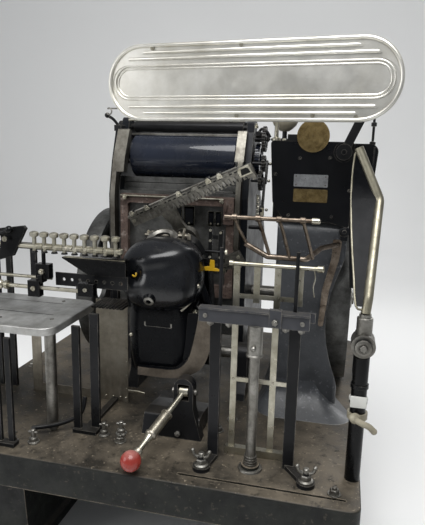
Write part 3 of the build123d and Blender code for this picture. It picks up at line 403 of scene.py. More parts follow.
def add_plate(bm, origin, across, up, points, depth):
    """Plate with a flat outline in two directions and a depth along their cross product."""
    across = Vector(across).normalized()
    up = Vector(up).normalized()
    out = across.cross(up) * depth
    low = [bm.verts.new(Vector(origin) + across * u + up * v) for u, v in points]
    high = [bm.verts.new(v.co + out) for v in low]
    bm.faces.new(low[::-1])
    bm.faces.new(high)
    for k in range(len(low)):
        n = (k + 1) % len(low)
        bm.faces.new((low[k], low[n], high[n], high[k]))


def add_block(bm, x0, x1, y0, y1, z0, z1):
    """Block given by its six faces."""
    width, height = x1 - x0, z1 - z0
    add_plate(bm, (x0, y1, z0), ACROSS, UP, [(0, 0), (width, 0), (width, height), (0, height)], y1 - y0)


def rounded(width, height, radius, steps=5):
    """Outline of a rectangle with round corners, centred on its origin."""
    points = []
    for k, (sx, sy) in enumerate(((1, 1), (-1, 1), (-1, -1), (1, -1))):
        for j in range(steps + 1):
            t = pi / 2 * (k + j / steps)
            points.append((sx * (width / 2 - radius) + radius * cos(t),
                           sy * (height / 2 - radius) + radius * sin(t)))
    return points


def add_rod(bm, points, radius, count=12, closed=False):
    """Round rod through points in space, with flat ends or closed into a ring."""
    points = [Vector(p) for p in points]
    rings = []
    side = None
    for k, point in enumerate(points):
        ahead = points[min(k + 1, len(points) - 1)] - points[max(k - 1, 0)]
        if closed:
            ahead = points[(k + 1) % len(points)] - points[k - 1]
        ahead.normalize()
        side = ahead.orthogonal() if side is None else side - ahead * side.dot(ahead)
        side.normalize()
        other = ahead.cross(side)
        turn = [2 * pi * j / count for j in range(count)]
        rings.append([bm.verts.new(point + (side * cos(t) + other * sin(t)) * radius) for t in turn])
    pairs = list(zip(rings, rings[1:]))
    if closed:
        last = rings[-1]
        near = min(range(count), key=lambda j: (last[j].co - rings[0][0].co).length)
        pairs.append((last[near:] + last[:near], rings[0]))
    for low, high in pairs:
        for k in range(count):
            n = (k + 1) % count
            bm.faces.new((low[k], low[n], high[n], high[k]))
    if not closed:
        bm.faces.new(rings[0][::-1])
        bm.faces.new(rings[-1])


def add_spring(bm, start, end, radius, wire, turns):
    """Coil spring between two points."""
    start = Vector(start)
    axis = Vector(end) - start
    side = axis.normalized().orthogonal().normalized()
    other = axis.normalized().cross(side)
    steps = int(turns * 12)
    path = []
    for k in range(steps + 1):
        t = 2 * pi * turns * k / steps
        path.append(start + axis * (k / steps) + (side * cos(t) + other * sin(t)) * radius)
    add_rod(bm, path, wire, 6)


def add_ball(bm, centre, radius, axis=UP, count=16):
    """Ball turned from a half circle."""
    rows = 8
    profile = [(-radius * cos(pi * k / rows), radius * sin(pi * k / rows)) for k in range(rows + 1)]
    profile[0] = (-radius, 0)
    profile[-1] = (radius, 0)
    add_turned(bm, centre, axis, profile, count)


def add_hex(bm, base, axis, size, height, stud=0.0):
    """Hexagon head with chamfered corners, with a stud on top where one is given."""
    r = size / 2 / cos(pi / 6)
    add_turned(bm, base, axis, solid((0, r), (height * 0.82, r), (height, r * 0.86)), 6)
    if stud:
        thick, tip = size * 0.27, size * 0.2
        add_turned(bm, Vector(base) + Vector(axis).normalized() * height, axis,
                   [(-0.5, 0), (-0.5, thick), (stud - 1, thick), (stud, tip), (stud, 0)], 14)


def add_screw(bm, base, axis, radius, height, turn=0.5):
    """Slotted screw: a collar and two half-round lands with the slot between them."""
    axis = Vector(axis).normalized()
    side = axis.orthogonal().normalized()
    side = Matrix.Rotation(turn, 3, axis) @ side
    other = axis.cross(side)
    add_turned(bm, base, axis, solid((0, radius), (height * 0.4, radius)), 18)
    land, half_slot = radius * 0.94, radius * 0.13
    for sign in (1, -1):
        lean = [k * pi / 8 for k in range(9)]
        points = [(land * cos(t), sign * (land * sin(t) + half_slot)) for t in lean]
        if sign < 0:
            points.reverse()
        add_plate(bm, Vector(base) + axis * height * 0.38, side, other, points, height * 0.62)


# The finishes by their short names, filled by the first operator.
FINISHES = {}


def piece(name, bm, finish, bevel=0.0, smooth=35, body="frame"):
    """Turn mesh data in mm into a piece that rides on a body. Edges under smooth degrees are soft."""
    bmesh.ops.recalc_face_normals(bm, faces=bm.faces)
    for edge in bm.edges:
        edge.smooth = len(edge.link_faces) == 2 and edge.calc_face_angle(pi) < radians(smooth)
    for face in bm.faces:
        face.smooth = True
    bmesh.ops.scale(bm, vec=(MM, MM, MM), verts=bm.verts)
    mesh = bpy.data.meshes.new(name)
    bm.to_mesh(mesh)
    bm.free()
    mesh.materials.append(FINISHES[finish])
    thing = bpy.data.objects.new(name, mesh)
    bpy.context.scene.collection.objects.link(thing)
    if bevel:
        modifier = thing.modifiers.new("worn_edges", "BEVEL")
        modifier.width = bevel * MM
        modifier.segments = 2
        modifier.limit_method = "ANGLE"
    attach(thing, body)


# What a user may change in the panel.


class PressSizes(bpy.types.PropertyGroup):
    bolt_size: bpy.props.FloatProperty(
        name="Bolt size", description="Width across the flats of the deck's bolts",
        default=0.022, unit="LENGTH")
    screw_radius: bpy.props.FloatProperty(
        name="Screw radius", description="Radius of the cover's slotted screws",
        default=0.005, unit="LENGTH")
    edge_bevel: bpy.props.FloatProperty(
        name="Edge rounding", description="Rounding of the small fittings' edges",
        default=0.0006, unit="LENGTH")


class PressLight(bpy.types.PropertyGroup):
    key_power: bpy.props.FloatProperty(
        name="Key lamp", description="Power of the large lamp above the press",
        default=130.0, unit="POWER")
    fill_power: bpy.props.FloatProperty(
        name="Fill lamp", description="Power of the lamp at the viewer's left and of the one behind",
        default=46.0, unit="POWER")
    backdrop: bpy.props.FloatVectorProperty(
        name="Backdrop", description="Colour of the floor and wall",
        default=(0.88, 0.88, 0.87), subtype="COLOR", size=3)


def press_size(key):
    """Size from the panel, in mm."""
    return getattr(bpy.context.scene.press_sizes, key) / MM


# The pieces, one operator for each group. Plain tuples are places or (distance, radius) profiles in mm.


class PRESS_OT_finishes(bpy.types.Operator):
    """Give every CAD node its finish"""
    bl_idname = "press.finishes"
    bl_label = "Finishes"

    def execute(self, context):
        FINISHES.update(make_finishes())
        left = set(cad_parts)
        for finish, names in NODE_FINISH.items():
            for name in names:
                if name not in left:
                    raise RuntimeError("no CAD node to finish: " + name)
                left.discard(name)
                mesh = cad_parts[name].data
                mesh.materials.clear()
                mesh.materials.append(FINISHES[finish])
        if left:
            raise RuntimeError("CAD nodes without a finish: " + ", ".join(sorted(left)))
        return {"FINISHED"}


class PRESS_OT_deck_fittings(bpy.types.Operator):
    """Bolts, studs and feet on the deck"""
    bl_idname = "press.deck_fittings"
    bl_label = "Deck fittings"

    def execute(self, context):
        bolt, edge = press_size("bolt_size"), press_size("edge_bevel")
        bolt_places = ((205, -330), (232, -250), (-60, -470), (-500, -520), (560, -560), (-610, -40))
        washer, head = 3, 12
        bm = bmesh.new()
        for x, y in bolt_places:
            add_turned(bm, (x, y, DECK_TOP), UP, solid((0, bolt * 0.8), (washer, bolt * 0.8)), 24)
            add_hex(bm, (x, y, DECK_TOP + washer), UP, bolt, head, 6)
        for x in STANDARD_X:
            add_turned(bm, (x, STANDARD_Y + 2, FOOT_TOP), UP, solid((0, 15), (6, 15), (8, 12)), 24)
            add_hex(bm, (x, STANDARD_Y, FOOT_TOP + 8), UP, 22, head, 18)
        piece("deck_bolts", bm, "steel", edge)
        return {"FINISHED"}


class PRESS_OT_column_fittings(bpy.types.Operator):
    """Screws, plates' borders and badge relief on the column's cover"""
    bl_idname = "press.column_fittings"
    bl_label = "Column fittings"

    def execute(self, context):
        screw = press_size("screw_radius")
        screw_places = ((391, 1251), (482, 1254), (364, 1074), (497, 1075), (545, 1157), (318, 1200))
        pin, pin_height, pin_inset = 2.6, 1.6, 7
        low, high = spot("plate_silver")
        bm = bmesh.new()
        for x, z in screw_places:
            add_screw(bm, (x, high.y, z), FRONT, screw, 3.5, x * 0.1)
        piece("cover_screws", bm, "frame")
        bm = bmesh.new()
        for x in (low.x + pin_inset, high.x - pin_inset):
            for z in (low.z + 6, high.z - 6):
                add_screw(bm, (x, low.y, z), FRONT, pin, pin_height, z)
        piece("silver_plate_pins", bm, "steel")
        low, high = spot("plate_brass")
        centre = ((low.x + high.x) / 2, low.y, (low.z + high.z) / 2)
        bm = bmesh.new()
        for x in (low.x + pin_inset, high.x - pin_inset):
            add_screw(bm, (x, low.y, centre[2]), FRONT, pin, pin_height, x)
        add_border(bm, centre, ACROSS, UP, rounded(high.x - low.x - 5, high.z - low.z - 5, 3), 0.93, -0.6)
        piece("brass_plate_border", bm, "brass")
        piece("badge_relief", self.badge(), "brass")
        return {"FINISHED"}

    def badge(self):
        """Two plain rings, a ring of dots and a ring of rays."""
        low, high = spot("badge_round")
        middle = Vector(((low.x + high.x) / 2, low.y, (low.z + high.z) / 2))
        dots, dot_ring, rays, ray_ring = 40, 40.5, 18, 20
        bm = bmesh.new()
        for inner, outer, count in ((33, 36, 48), (16, 18, 40)):
            profile = tube(inner, outer, 1.4)
            add_turned(bm, middle + BACK, FRONT, profile, count)
        for k in range(dots):
            t = 2 * pi * k / dots
            place = middle + Vector((cos(t) * dot_ring, 2.6, sin(t) * dot_ring))
            add_turned(bm, place, FRONT, [(0, 0), (0, 1.3), (1.6, 0)], 8)
        for k in range(rays):
            t = 2 * pi * k / rays
            lean = Vector((cos(t), 0, sin(t)))
            add_plate(bm, middle + BACK * 1.2 + lean * ray_ring, lean, lean.cross(BACK),
                      [(0, -1.5), (10, 0), (0, 1.5)], -1.2)
        return bm


def add_border(bm, centre, across, up, outline, inner, depth):
    """Raised border between an outline and the same outline drawn smaller."""
    across = Vector(across).normalized()
    up = Vector(up).normalized()
    out = across.cross(up) * -depth
    rings = []
    for share, lift in ((1.0, 0), (1.0, 1), (inner, 1), (inner, 0)):
        rings.append([bm.verts.new(Vector(centre) + across * u * share + up * v * share + out * lift)
                      for u, v in outline])
    count = len(outline)
    for k in range(4):
        low, high = rings[k], rings[(k + 1) % 4]
        for j in range(count):
            n = (j + 1) % count
            bm.faces.new((low[j], low[n], high[n], high[j]))


class PRESS_OT_wheel_fittings(bpy.types.Operator):
    """Notched ring on the wheel's rim and collars on its hubs"""
    bl_idname = "press.wheel_fittings"
    bl_label = "Wheel fittings"

    def execute(self, context):
        low, high = spot("flywheel")
        y, z = (low.y + high.y) / 2, (low.z + high.z) / 2
        notches, notch_ring, bore, collar = 84, 272, 22.3, 38
        bm = bmesh.new()
        for k in range(notches):
            t = 2 * pi * k / notches
            lean = Vector((0, cos(t), sin(t)))
            add_plate(bm, Vector((low.x, y, z)) + lean * notch_ring, lean, lean.cross(ACROSS),
                      [(0, -5.5), (22, -6.5), (22, 6.5), (0, 5.5)], -4)
        piece("wheel_notches", bm, "iron", 0.8, body="flywheel_body")
        shaft_end = spot("flywheel_shaft")[1].x
        bm = bmesh.new()
        add_turned(bm, (high.x, y, z), ACROSS, ring(bore, (0, collar), (9, collar - 2), (12, 30)), 36)
        add_hex(bm, (shaft_end - 4, y, z), ACROSS, 34, 4)
        left = spot("flywheel_left")[0].x
        add_turned(bm, (left, y, z), -ACROSS, ring(bore, (0, collar), (9, collar - 4)), 36)
        piece("wheel_collars", bm, "steel", 0.6, body="flywheel_body")
        return {"FINISHED"}


class PRESS_OT_ink_fittings(bpy.types.Operator):
    """Knife, duct, rod and duct screws of the ink unit"""
    bl_idname = "press.ink_fittings"
    bl_label = "Ink unit fittings"

    def execute(self, context):
        edge = press_size("edge_bevel")
        x0, x1 = (corner.x for corner in spot("bed_plate"))
        blade, screws, screw_inset = 58, 9, 30
        bm = bmesh.new()
        add_plate(bm, (x0, 232, 1296), ACROSS, (0, -0.86, 0.5),
                  [(0, 0), (x1 - x0, 0), (x1 - x0, blade), (0, blade)], 4)
        add_block(bm, x0, x1, 176, 200, 1318, 1326)
        piece("ink_knife", bm, "steel", edge)
        bm = bmesh.new()
        add_block(bm, x0, x1, 220, 262, 1328, 1374)
        piece("ink_duct", bm, "oily", 3)
        bm = bmesh.new()
        add_rod(bm, [(x0, 150, 1372), (x1, 150, 1372)], 5, 14)
        piece("ink_rods", bm, "nickel")
        bm = bmesh.new()
        for k in range(screws):
            x = x0 + screw_inset + (x1 - x0 - 2 * screw_inset) * k / (screws - 1)
            add_turned(bm, (x, 261, 1350), BACK, solid((0, 5), (12, 5), (12, 9), (22, 9), (24, 7)), 14)
        piece("duct_screws", bm, "nickel")
        return {"FINISHED"}


def on_hub(u, v, n):
    """Point in the windmill's leaning plane: right, up the lean and out to the viewer."""
    return HUB + ACROSS * u + UP_LEAN * v + OUT_LEAN * n


def on_bar(along, across, out, half):
    """Point on a gripper bar: along it, away from the hub and out, on the first or the opposite bar."""
    turn = BAR_TILT + pi * half
    return on_hub(along * cos(turn) - across * sin(turn), along * sin(turn) + across * cos(turn), out)


def on_guard(u, v, out):
    """Point in the guard's plane: along it, up and out to the viewer."""
    return GUARD_MIDDLE + GUARD_ACROSS * u + UP * v + GUARD_OUT * out


def stadium(half_length, half_height, steps=14):
    """Outline of a bar with round ends, centred on its origin."""
    points = []
    straight = half_length - half_height
    for sign in (1, -1):
        for k in range(steps + 1):
            t = -pi / 2 + pi * k / steps
            points.append((sign * (straight + half_height * cos(t)), sign * half_height * sin(t)))
    return points


def arc(centre, a, b, radius, start, end, steps=12):
    """Points of an arc in the plane of two directions, angles in degrees."""
    points = []
    for k in range(steps + 1):
        t = radians(start + (end - start) * k / steps)
        points.append(Vector(centre) + (Vector(a) * cos(t) + Vector(b) * sin(t)) * radius)
    return points


class PRESS_OT_guard_fittings(bpy.types.Operator):
    """Rolled rim, rounded beads, border of the bare field, screws and the wire loop of the guard"""
    bl_idname = "press.guard_fittings"
    bl_label = "Guard fittings"

    def execute(self, context):
        half_length, half_height, face = 410, 105, 3
        bead, roll, border = 4.2, 5.0, 2.6
        bm = bmesh.new()
        edge = stadium(half_length - roll - 0.5, half_height - roll - 0.5, 20)
        add_rod(bm, [on_guard(u, v, face + 1) for u, v in edge], roll, 10, closed=True)
        piece("guard_rolled_rim", bm, "guard", 0, 60, body="guard")
        bm = bmesh.new()
        for v, half in ((82, 300), (65, 347)):
            for sign in (1, -1):
                ends = [(-half, -4), (-half + 8, 0), (half - 8, 0), (half, -4)]
                add_rod(bm, [on_guard(u, v * sign, face + 2 + sink) for u, sink in ends], bead, 10)
        piece("guard_beads", bm, "guard", 0, 60, body="guard")
        bm = bmesh.new()
        for u_half, v_half, out in ((388, 46, face - 0.5), (380, 38, face - 2)):
            outline = stadium(u_half, v_half, 20)
            add_rod(bm, [on_guard(u, v, out) for u, v in outline], border, 8, closed=True)
        piece("guard_field_border", bm, "guard", 0, 60, body="guard")
        bm = bmesh.new()
        for u, v in ((-17, -89), (190, -89), (-10, 93), (300, -92), (-270, 92)):
            add_screw(bm, on_guard(u, v, face + 0.5), GUARD_OUT, 5.5, 3, u)
        piece("guard_screws", bm, "nickel", body="guard")
        bm = bmesh.new()
        loop = arc(on_guard(-414, -78, 0), GUARD_ACROSS, UP, 9, -150, 120, 14)
        add_rod(bm, [on_guard(-376, -70, 0)] + loop[::-1], 2.2, 8)
        piece("guard_wire_loop", bm, "steel", body="guard")
        return {"FINISHED"}


class PRESS_OT_gripper_fittings(bpy.types.Operator):
    """Gripper rods, nickel clips, spring tongues, slots and jaws on both bars of the windmill"""
    bl_idname = "press.gripper_fittings"
    bl_label = "Gripper fittings"

    def execute(self, context):
        top, spine_out, bar_end, pitch = 144, 10, 305, 18
        clips = (-118, -61, 60, 166, 205)
        clip_outline = [(0, 0), (18, 0), (18, 8), (13, 17), (5, 17), (0, 8)]
        jaw_outline = [(0, 0), (bar_end - 264, 0), (bar_end - 266, 29), (8, 29), (0, 20)]
        black, bright, grey = bmesh.new(), bmesh.new(), bmesh.new()
        for half in (0, 1):
            turn = BAR_TILT + pi * half
            along = ACROSS * cos(turn) + UP_LEAN * sin(turn)
            away = UP_LEAN * cos(turn) - ACROSS * sin(turn)
            add_rod(grey, [on_bar(s, top + 5, 3, half) for s in (-132, 262)], 3.2, 10)
            for k in range(22):
                start = on_bar(-128 + pitch * k, top - 7.5, spine_out, half)
                add_plate(black, start, along, away, [(0, 0), (11, 0), (11, 4), (0, 4)], 0.7)
            for k in range(20):
                start = on_bar(-70 + pitch * k, 112, 4, half)
                add_plate(grey, start, along, away, [(0, 0), (9, 0), (7, 14), (2, 14)], 2.5)
            for s in clips:
                add_plate(bright, on_bar(s - 9, top - 5, spine_out, half), along, away, clip_outline, 2.5)
                add_plate(black, on_bar(s - 7, top + 1, -3, half), along, away,
                          [(0, 0), (14, 0), (14, 11), (0, 11)], 12)
                add_screw(bright, on_bar(s, top + 1, spine_out + 2.5, half), OUT_LEAN, 4, 3, s)
            add_plate(bright, on_bar(262, 118, 12, half), along, away, jaw_outline, 3)
            add_plate(black, on_bar(268, 123, 15, half), along, away,
                      [(0, 0), (30, 0), (28, 18), (6, 18)], 1)
            for s in (270, 296):
                add_screw(bright, on_bar(s, 141, 15, half), OUT_LEAN, 3.2, 2, s)
            add_screw(bright, on_bar(-128, 122, 4, half), OUT_LEAN, 6, 3, 1)
        piece("gripper_slots", black, "post", body="windmill")
        piece("gripper_clips", bright, "nickel", 0.5, body="windmill")
        piece("gripper_tongues", grey, "steel", 0.3, body="windmill")
        return {"FINISHED"}


class PRESS_OT_housing_fittings(bpy.types.Operator):
    """Collar, rib, head shell, eye and nozzle rings, slot frame and small levers of the drive housing"""
    bl_idname = "press.housing_fittings"
    bl_label = "Housing fittings"

    def execute(self, context):
        self.collar_and_rib()
        self.crown()
        bm = bmesh.new()
        add_head(bm)
        piece("housing_head_shell", bm, "head", 0, 80, body="rocker")
        bm = bmesh.new()
        inner = [(-48, 612), (20, 612), (62, 614), (92, 628), (116, 664), (134, 742), (143, 803)]
        outer = [(193, 803), (189, 745), (170, 662), (146, 622), (104, 598), (52, 586), (-48, 586)]
        outline = smooth_path(outer, 6) + smooth_path(inner, 6)
        add_plate(bm, (0, -358, 0), ACROSS, UP, [(p.x, p.y) for p in outline], 0.8)
        piece("housing_band_face", bm, "band", body="rocker")
        self.rings_and_levers()
        bm = bmesh.new()
        add_border(bm, (14, -351.5, 750), ACROSS, UP, rounded(88, 15, 4), 0.9, 2.2)
        piece("housing_slot_frame", bm, "steel", body="rocker")
        return {"FINISHED"}

    def collar_and_rib(self):
        """Rough cast collar round the head's top and the rib down the housing's right side."""
        collar, axis, lumps = Vector((2, -262, 972)), Vector((0, -0.5, 0.87)), 20
        bm = bmesh.new()
        profile = [(0, 30), (0, 47), (30, 50), (38, 47), (40, 38), (34, 30), (0, 30)]
        add_turned(bm, collar, axis, profile, 40)
        for k in range(lumps):
            t = 2 * pi * k / lumps
            side = Vector((cos(t), 0.87 * sin(t), 0.5 * sin(t)))
            add_ball(bm, collar + side * 48 + axis * 20, 4 + k % 3, UP, 8)
        piece("housing_rough_collar", bm, "steel", 0, 40, body="rocker")
        bm = bmesh.new()
        path = [(34, -262, 992), (66, -262, 968), (96, -262, 925), (118, -262, 868), (142, -256, 800),
                (154, -250, 752)]
        add_rod(bm, smooth_path(path, 6), 13, 16)
        piece("housing_side_rib", bm, "housing", 0, 60, body="rocker")

    def crown(self):
        """Row of bolts and two rods behind the head."""
        bm = bmesh.new()
        for k in range(9):
            base = on_hub(-108 + 17 * k, 32, 44 + 9 * (k % 3))
            add_hex(bm, base, UP_LEAN, 12 + k % 2 * 3, 9 + k % 3 * 3, 5)
        add_rod(bm, [on_hub(8, 30, 62), on_hub(14, 62, 52)], 4, 12)
        add_rod(bm, [on_hub(-116, 36, 56), on_hub(30, 40, 56)], 4.5, 12)
        piece("crown_bolts", bm, "sleeve", 0.3, body="rocker")

    def rings_and_levers(self):
        """Yellow crescent of the eye, ring of the nozzle, and the small bright levers beside the head."""
        eye, nozzle = Vector((-47, -387, 911)), Vector((4, -335, 874))
        eye_out = Vector((-0.42, -0.9, -0.04)).normalized()
        nozzle_out = Vector((0, -0.88, -0.47)).normalized()
        bm = bmesh.new()
        add_rod(bm, arc(eye, eye_out.cross(UP).normalized(), UP, -8, -30, 150, 12), 2.6, 8)
        piece("housing_eye_ring", bm, "yellow", body="rocker")
        bm = bmesh.new()
        add_turned(bm, nozzle + nozzle_out * 78, nozzle_out, ring(8.2, (0, 15), (3, 15), (5, 12)), 36)
        piece("housing_nozzle_ring", bm, "steel", body="rocker")
        lever = [(130, -330, 872), (122, -338, 850), (110, -344, 824), (86, -352, 800)]
        bm = bmesh.new()
        add_rod(bm, smooth_path(lever, 5), 4, 12)
        add_ball(bm, (130, -330, 874), 8, UP, 14)
        add_hex(bm, (118, -312, 786), (0.6, -0.8, 0), 20, 11, 5)
        add_ball(bm, (-70, -356, 712), 7, FRONT, 14)
        add_plate(bm, (-84, -345, 520), ACROSS, (0, -0.5, 0.86),
                  [(0, 0), (52, -5), (54, 3), (30, 9), (0, 8)], 3)
        piece("housing_bright_parts", bm, "nickel", 0.4, body="rocker")


# Forms on the head's round shape, each with its direction, its height in mm and its width in degrees.
HEAD_FORMS = (
    ((-0.12, -0.95, -0.28), 12, 26),  # muzzle
    ((-0.5, -0.84, 0.15), -10, 9),  # the eye's hollow
    ((0.72, -0.62, -0.3), 10, 15),  # cheek
    ((0.3, -0.88, -0.05), -3, 15),  # hollow between the muzzle and the cheek
)


def add_head(bm, columns=72, rows=44):
    """Cast shell of the housing's head: a full round form with a muzzle, a brow and a cheek."""
    centre, reach, back, power = Vector((12, -290, 895)), (122, 104, 112), -236, 2.6
    rings = []
    for j in range(rows + 1):
        rise = -pi / 2 + pi * j / rows
        line = []
        for k in range(1 if j in (0, rows) else columns):
            turn = 2 * pi * k / columns
            way = Vector((cos(rise) * cos(turn), cos(rise) * sin(turn), sin(rise)))
            size = sum((abs(w) / r) ** power for w, r in zip(way, reach)) ** (-1 / power)
            for aim, height, width in HEAD_FORMS:
                size += height * swell(way.angle(Vector(aim).normalized()), width)
            # The brow and the groove under it climb to the right, and a ridge runs down the front.
            brow, groove = radians(33 + 14 * way.x), radians(14 + 14 * way.x)
            size += (9 * swell(rise - brow, 8) - 6 * swell(rise - groove, 9)) * max(0, -way.y)
            size += 6 * swell(turn - radians(262), 9) * swell(rise, 24)
            point = centre + way * size
            point.y = min(point.y, back)
            line.append(bm.verts.new(point))
        rings.append(line)
    for low, high in zip(rings, rings[1:]):
        for k in range(columns):
            n = (k + 1) % columns
            corners = [low[k % len(low)], low[n % len(low)], high[n % len(high)], high[k % len(high)]]
            bm.faces.new(list(dict.fromkeys(corners)))


def swell(angle, width):
    """Bell-shaped share of an angle in radians, for a width in degrees."""
    return exp(-0.5 * (angle / radians(width)) ** 2)


def smooth_path(points, steps):
    """Points of a smooth curve through the given ones, in the plane or in space."""
    points = [Vector(p) for p in points]
    line = []
    for k in range(len(points) - 1):
        a, b, c, d = (points[min(max(j, 0), len(points) - 1)] for j in (k - 1, k, k + 1, k + 2))
        for j in range(steps):
            t = j / steps
            line.append(0.5 * (2 * b + (c - a) * t + (2 * a - 5 * b + 4 * c - d) * t ** 2
                               + (3 * b - a - 3 * c + d) * t ** 3))
    return line + [points[-1]]


class PRESS_OT_register_block(bpy.types.Operator):
    """Black carrier with the small yellow block beside the housing"""
    bl_idname = "press.register_block"
    bl_label = "Register block"

    def execute(self, context):
        carrier = ((141, 153, -256, -246, 930, 1040), (172, 186, -256, -246, 900, 1034),
                   (141, 186, -254, -248, 1004, 1018), (108, 190, -254, -240, 930, 944),
                   (104, 124, -250, -216, 926, 948))
        bm = bmesh.new()
        for block in carrier:
            add_block(bm, *block)
        add_rod(bm, [(134, -262, 968), (196, -262, 968)], 5, 12)
        piece("register_carrier", bm, "post", 0.8, body="rocker")
        bm = bmesh.new()
        outline = [(0, 0), (48, 0), (48, 8), (32, 10), (32, 34), (18, 36), (16, 14), (0, 12)]
        add_plate(bm, (130, -257, 906), ACROSS, UP, outline, -9)
        piece("register_block_yellow", bm, "yellow", 1.2, body="rocker")
        bm = bmesh.new()
        for x, z in ((147, 1032), (147, 950), (179, 1026), (179, 950), (147, 1000)):
            add_screw(bm, (x, -256, z), FRONT, 4, 2.5, z)
        add_hex(bm, (196, -262, 968), ACROSS, 13, 7)
        piece("register_screws", bm, "nickel", body="rocker")
        return {"FINISHED"}


class PRESS_OT_bed_fittings(bpy.types.Operator):
    """Framed gauge plates, side block, cross plate and small knobs of the bed"""
    bl_idname = "press.bed_fittings"
    bl_label = "Bed fittings"

    def execute(self, context):
        low, high = spot("bed_plate")
        front = spot("chase_frame")[0].y
        gauge_front = 12
        gauges = ((-45, -24, 1000, 1073), (-16, 22, 1004, 1073),
                  (72, 94, 1006, 1058), (98, 120, 1006, 1058))
        bm = bmesh.new()
        add_block(bm, low.x + 0.5, high.x - 0.5, 100, 103.5, high.z - 60, 1143)
        add_block(bm, low.x + 20, high.x - 20, 84, 100, high.z - 22, high.z + 6)
        piece("bed_cross_plate", bm, "iron", 1)
        black, bright = bmesh.new(), bmesh.new()
        for x0, x1, z0, z1 in gauges:
            add_block(black, x0, x1, gauge_front, 16, z0, z1)
            add_block(black, x0 + 4, x1 - 4, 15, low.y, z0 + 8, z0 + 22)
            middle = ((x0 + x1) / 2, gauge_front, (z0 + z1) / 2)
            add_border(bright, middle, ACROSS, UP, rounded(x1 - x0, z1 - z0, 2), 0.76, 2)
            add_screw(bright, ((x0 + x1) / 2, gauge_front, z0 + 9), FRONT, 3.4, 2, z1)
        piece("gauge_plates", black, "cover", 0.5)
        knob = [(0, 0), (0, 6), (4, 6), (5, 4), (10, 8), (15, 7), (17, 0)]
        for x in (-240, -35, 120):
            add_turned(bright, (x, front, high.z - 24), FRONT, knob, 18)
        add_rod(bright, [(low.x + 18, front - 4, 1100), (high.x - 6, front - 4, 1100)], 3.4, 10)
        piece("gauge_plate_edges", bright, "nickel")
        bm = bmesh.new()
        add_block(bm, 126, 163, front - 13, front, 1014, 1106)
        add_block(bm, 132, 158, front - 17, front - 12, 1030, 1048)
        add_block(bm, 130, 140, front - 16, front - 12, 1058, 1098)
        piece("chase_side_block", bm, "rust", 1.4)
        return {"FINISHED"}


class PRESS_OT_ink_gears(bpy.types.Operator):
    """Gears, links, cams and brackets at the ends of the ink unit"""
    bl_idname = "press.ink_gears"
    bl_label = "Ink unit gears"

    def execute(self, context):
        side = spot("side_frame_right")[1].x
        left = spot("side_frame_left")[0].x
        # Centres as (y, z): the drum's gear, two idlers and the two pins below them.
        top, idler, lower, cam, foot = (112, 1310), (86, 1226), (66, 1168), (38, 1070), (60, 1004)
        bm = bmesh.new()
        for (y, z), radius, teeth, x0 in ((top, 40, 26, side + 30), (idler, 24, 16, side + 34),
                                          (lower, 30, 20, side + 28)):
            add_gear(bm, (x0, y, z), radius, teeth, 12)
            add_rod(bm, [(side - 1, y, z), (x0 + 18, y, z)], 6, 14)
            add_hex(bm, (x0 + 14, y, z), ACROSS, 17, 7, 4)
        for start, end, x0 in ((idler, lower, side + 48), (lower, cam, side + 44), (cam, foot, side + 38)):
            add_link(bm, (x0, *start), (x0, *end), 12, 7)
        add_rod(bm, [(side - 1, *foot), (side + 50, *foot)], 7, 14)
        add_turned(bm, (side + 40, 36, 1068), ACROSS, solid((0, 17), (10, 17), (13, 13)), 24)
        add_block(bm, side - 0.5, side + 26, 120, 150, 1300, 1334)
        add_block(bm, side + 4, side + 22, 96, 122, 1322, 1336)
        hook = [(side + 12, 110, 1330), (side + 26, 96, 1344), (side + 44, 88, 1338), (side + 58, 90, 1316)]
        add_rod(bm, smooth_path(hook, 5), 5, 10)
        piece("ink_gear_train", bm, "oily", 0.7, 30)
        bm = bmesh.new()
        for y, z in (top, idler, lower, cam):
            add_ball(bm, (side + 62, y, z), 5.5, ACROSS, 12)
        cap = [(0, 0), (0, 7), (8, 7), (10, 4), (16, 4), (18, 0)]
        add_turned(bm, (side + 8, 90, 1346), UP, cap, 16)
        add_spring(bm, (side + 30, 52, 1120), (side + 34, 38, 1040), 7, 1.6, 11)
        piece("ink_gear_bright_parts", bm, "nickel")
        bm = bmesh.new()
        add_block(bm, side + 44, side + 56, 20, 28, 1050, 1078)
        piece("ink_link_tag", bm, "cream", 1)
        bm = bmesh.new()
        knob = [(0, 0), (0, 22), (12, 22), (15, 18), (15, 9), (26, 8), (28, 0)]
        add_turned(bm, (left + 4, 196, 1350), -ACROSS, knob, 26)
        add_block(bm, left + 2, left + 30, 110, 150, 1330, 1352)
        hook = [(left + 12, 128, 1350), (left - 4, 118, 1372), (left - 22, 110, 1384)]
        add_rod(bm, smooth_path(hook, 5), 5.5, 12)
        add_ball(bm, (left - 24, 109, 1386), 10, UP, 14)
        add_turned(bm, (left, 158, 1240), -ACROSS, ring(13, (0, 30), (8, 30), (12, 24)), 30)
        piece("ink_unit_left_knobs", bm, "oily", 0.6)
        return {"FINISHED"}


def add_gear(bm, base, radius, teeth, width):
    """Spur gear that stands along X, with a raised rim and a hub."""
    rim, web, hub = radius * 0.82, radius * 0.8, radius * 0.4
    profile = solid((0, radius), (width, radius), (width, rim), (width * 0.6, web), (width * 0.6, hub),
                    (width, radius * 0.36))
    add_turned(bm, base, ACROSS, profile, max(24, teeth))
    tooth = 2 * pi * radius / teeth / 4
    for k in range(teeth):
        t = 2 * pi * k / teeth
        lean = Vector((0, cos(t), sin(t)))
        add_plate(bm, Vector(base) + lean * (radius - 0.5), lean, lean.cross(ACROSS),
                  [(0, -tooth * 1.3), (5, -tooth * 0.7), (5, tooth * 0.7), (0, tooth * 1.3)], -width)


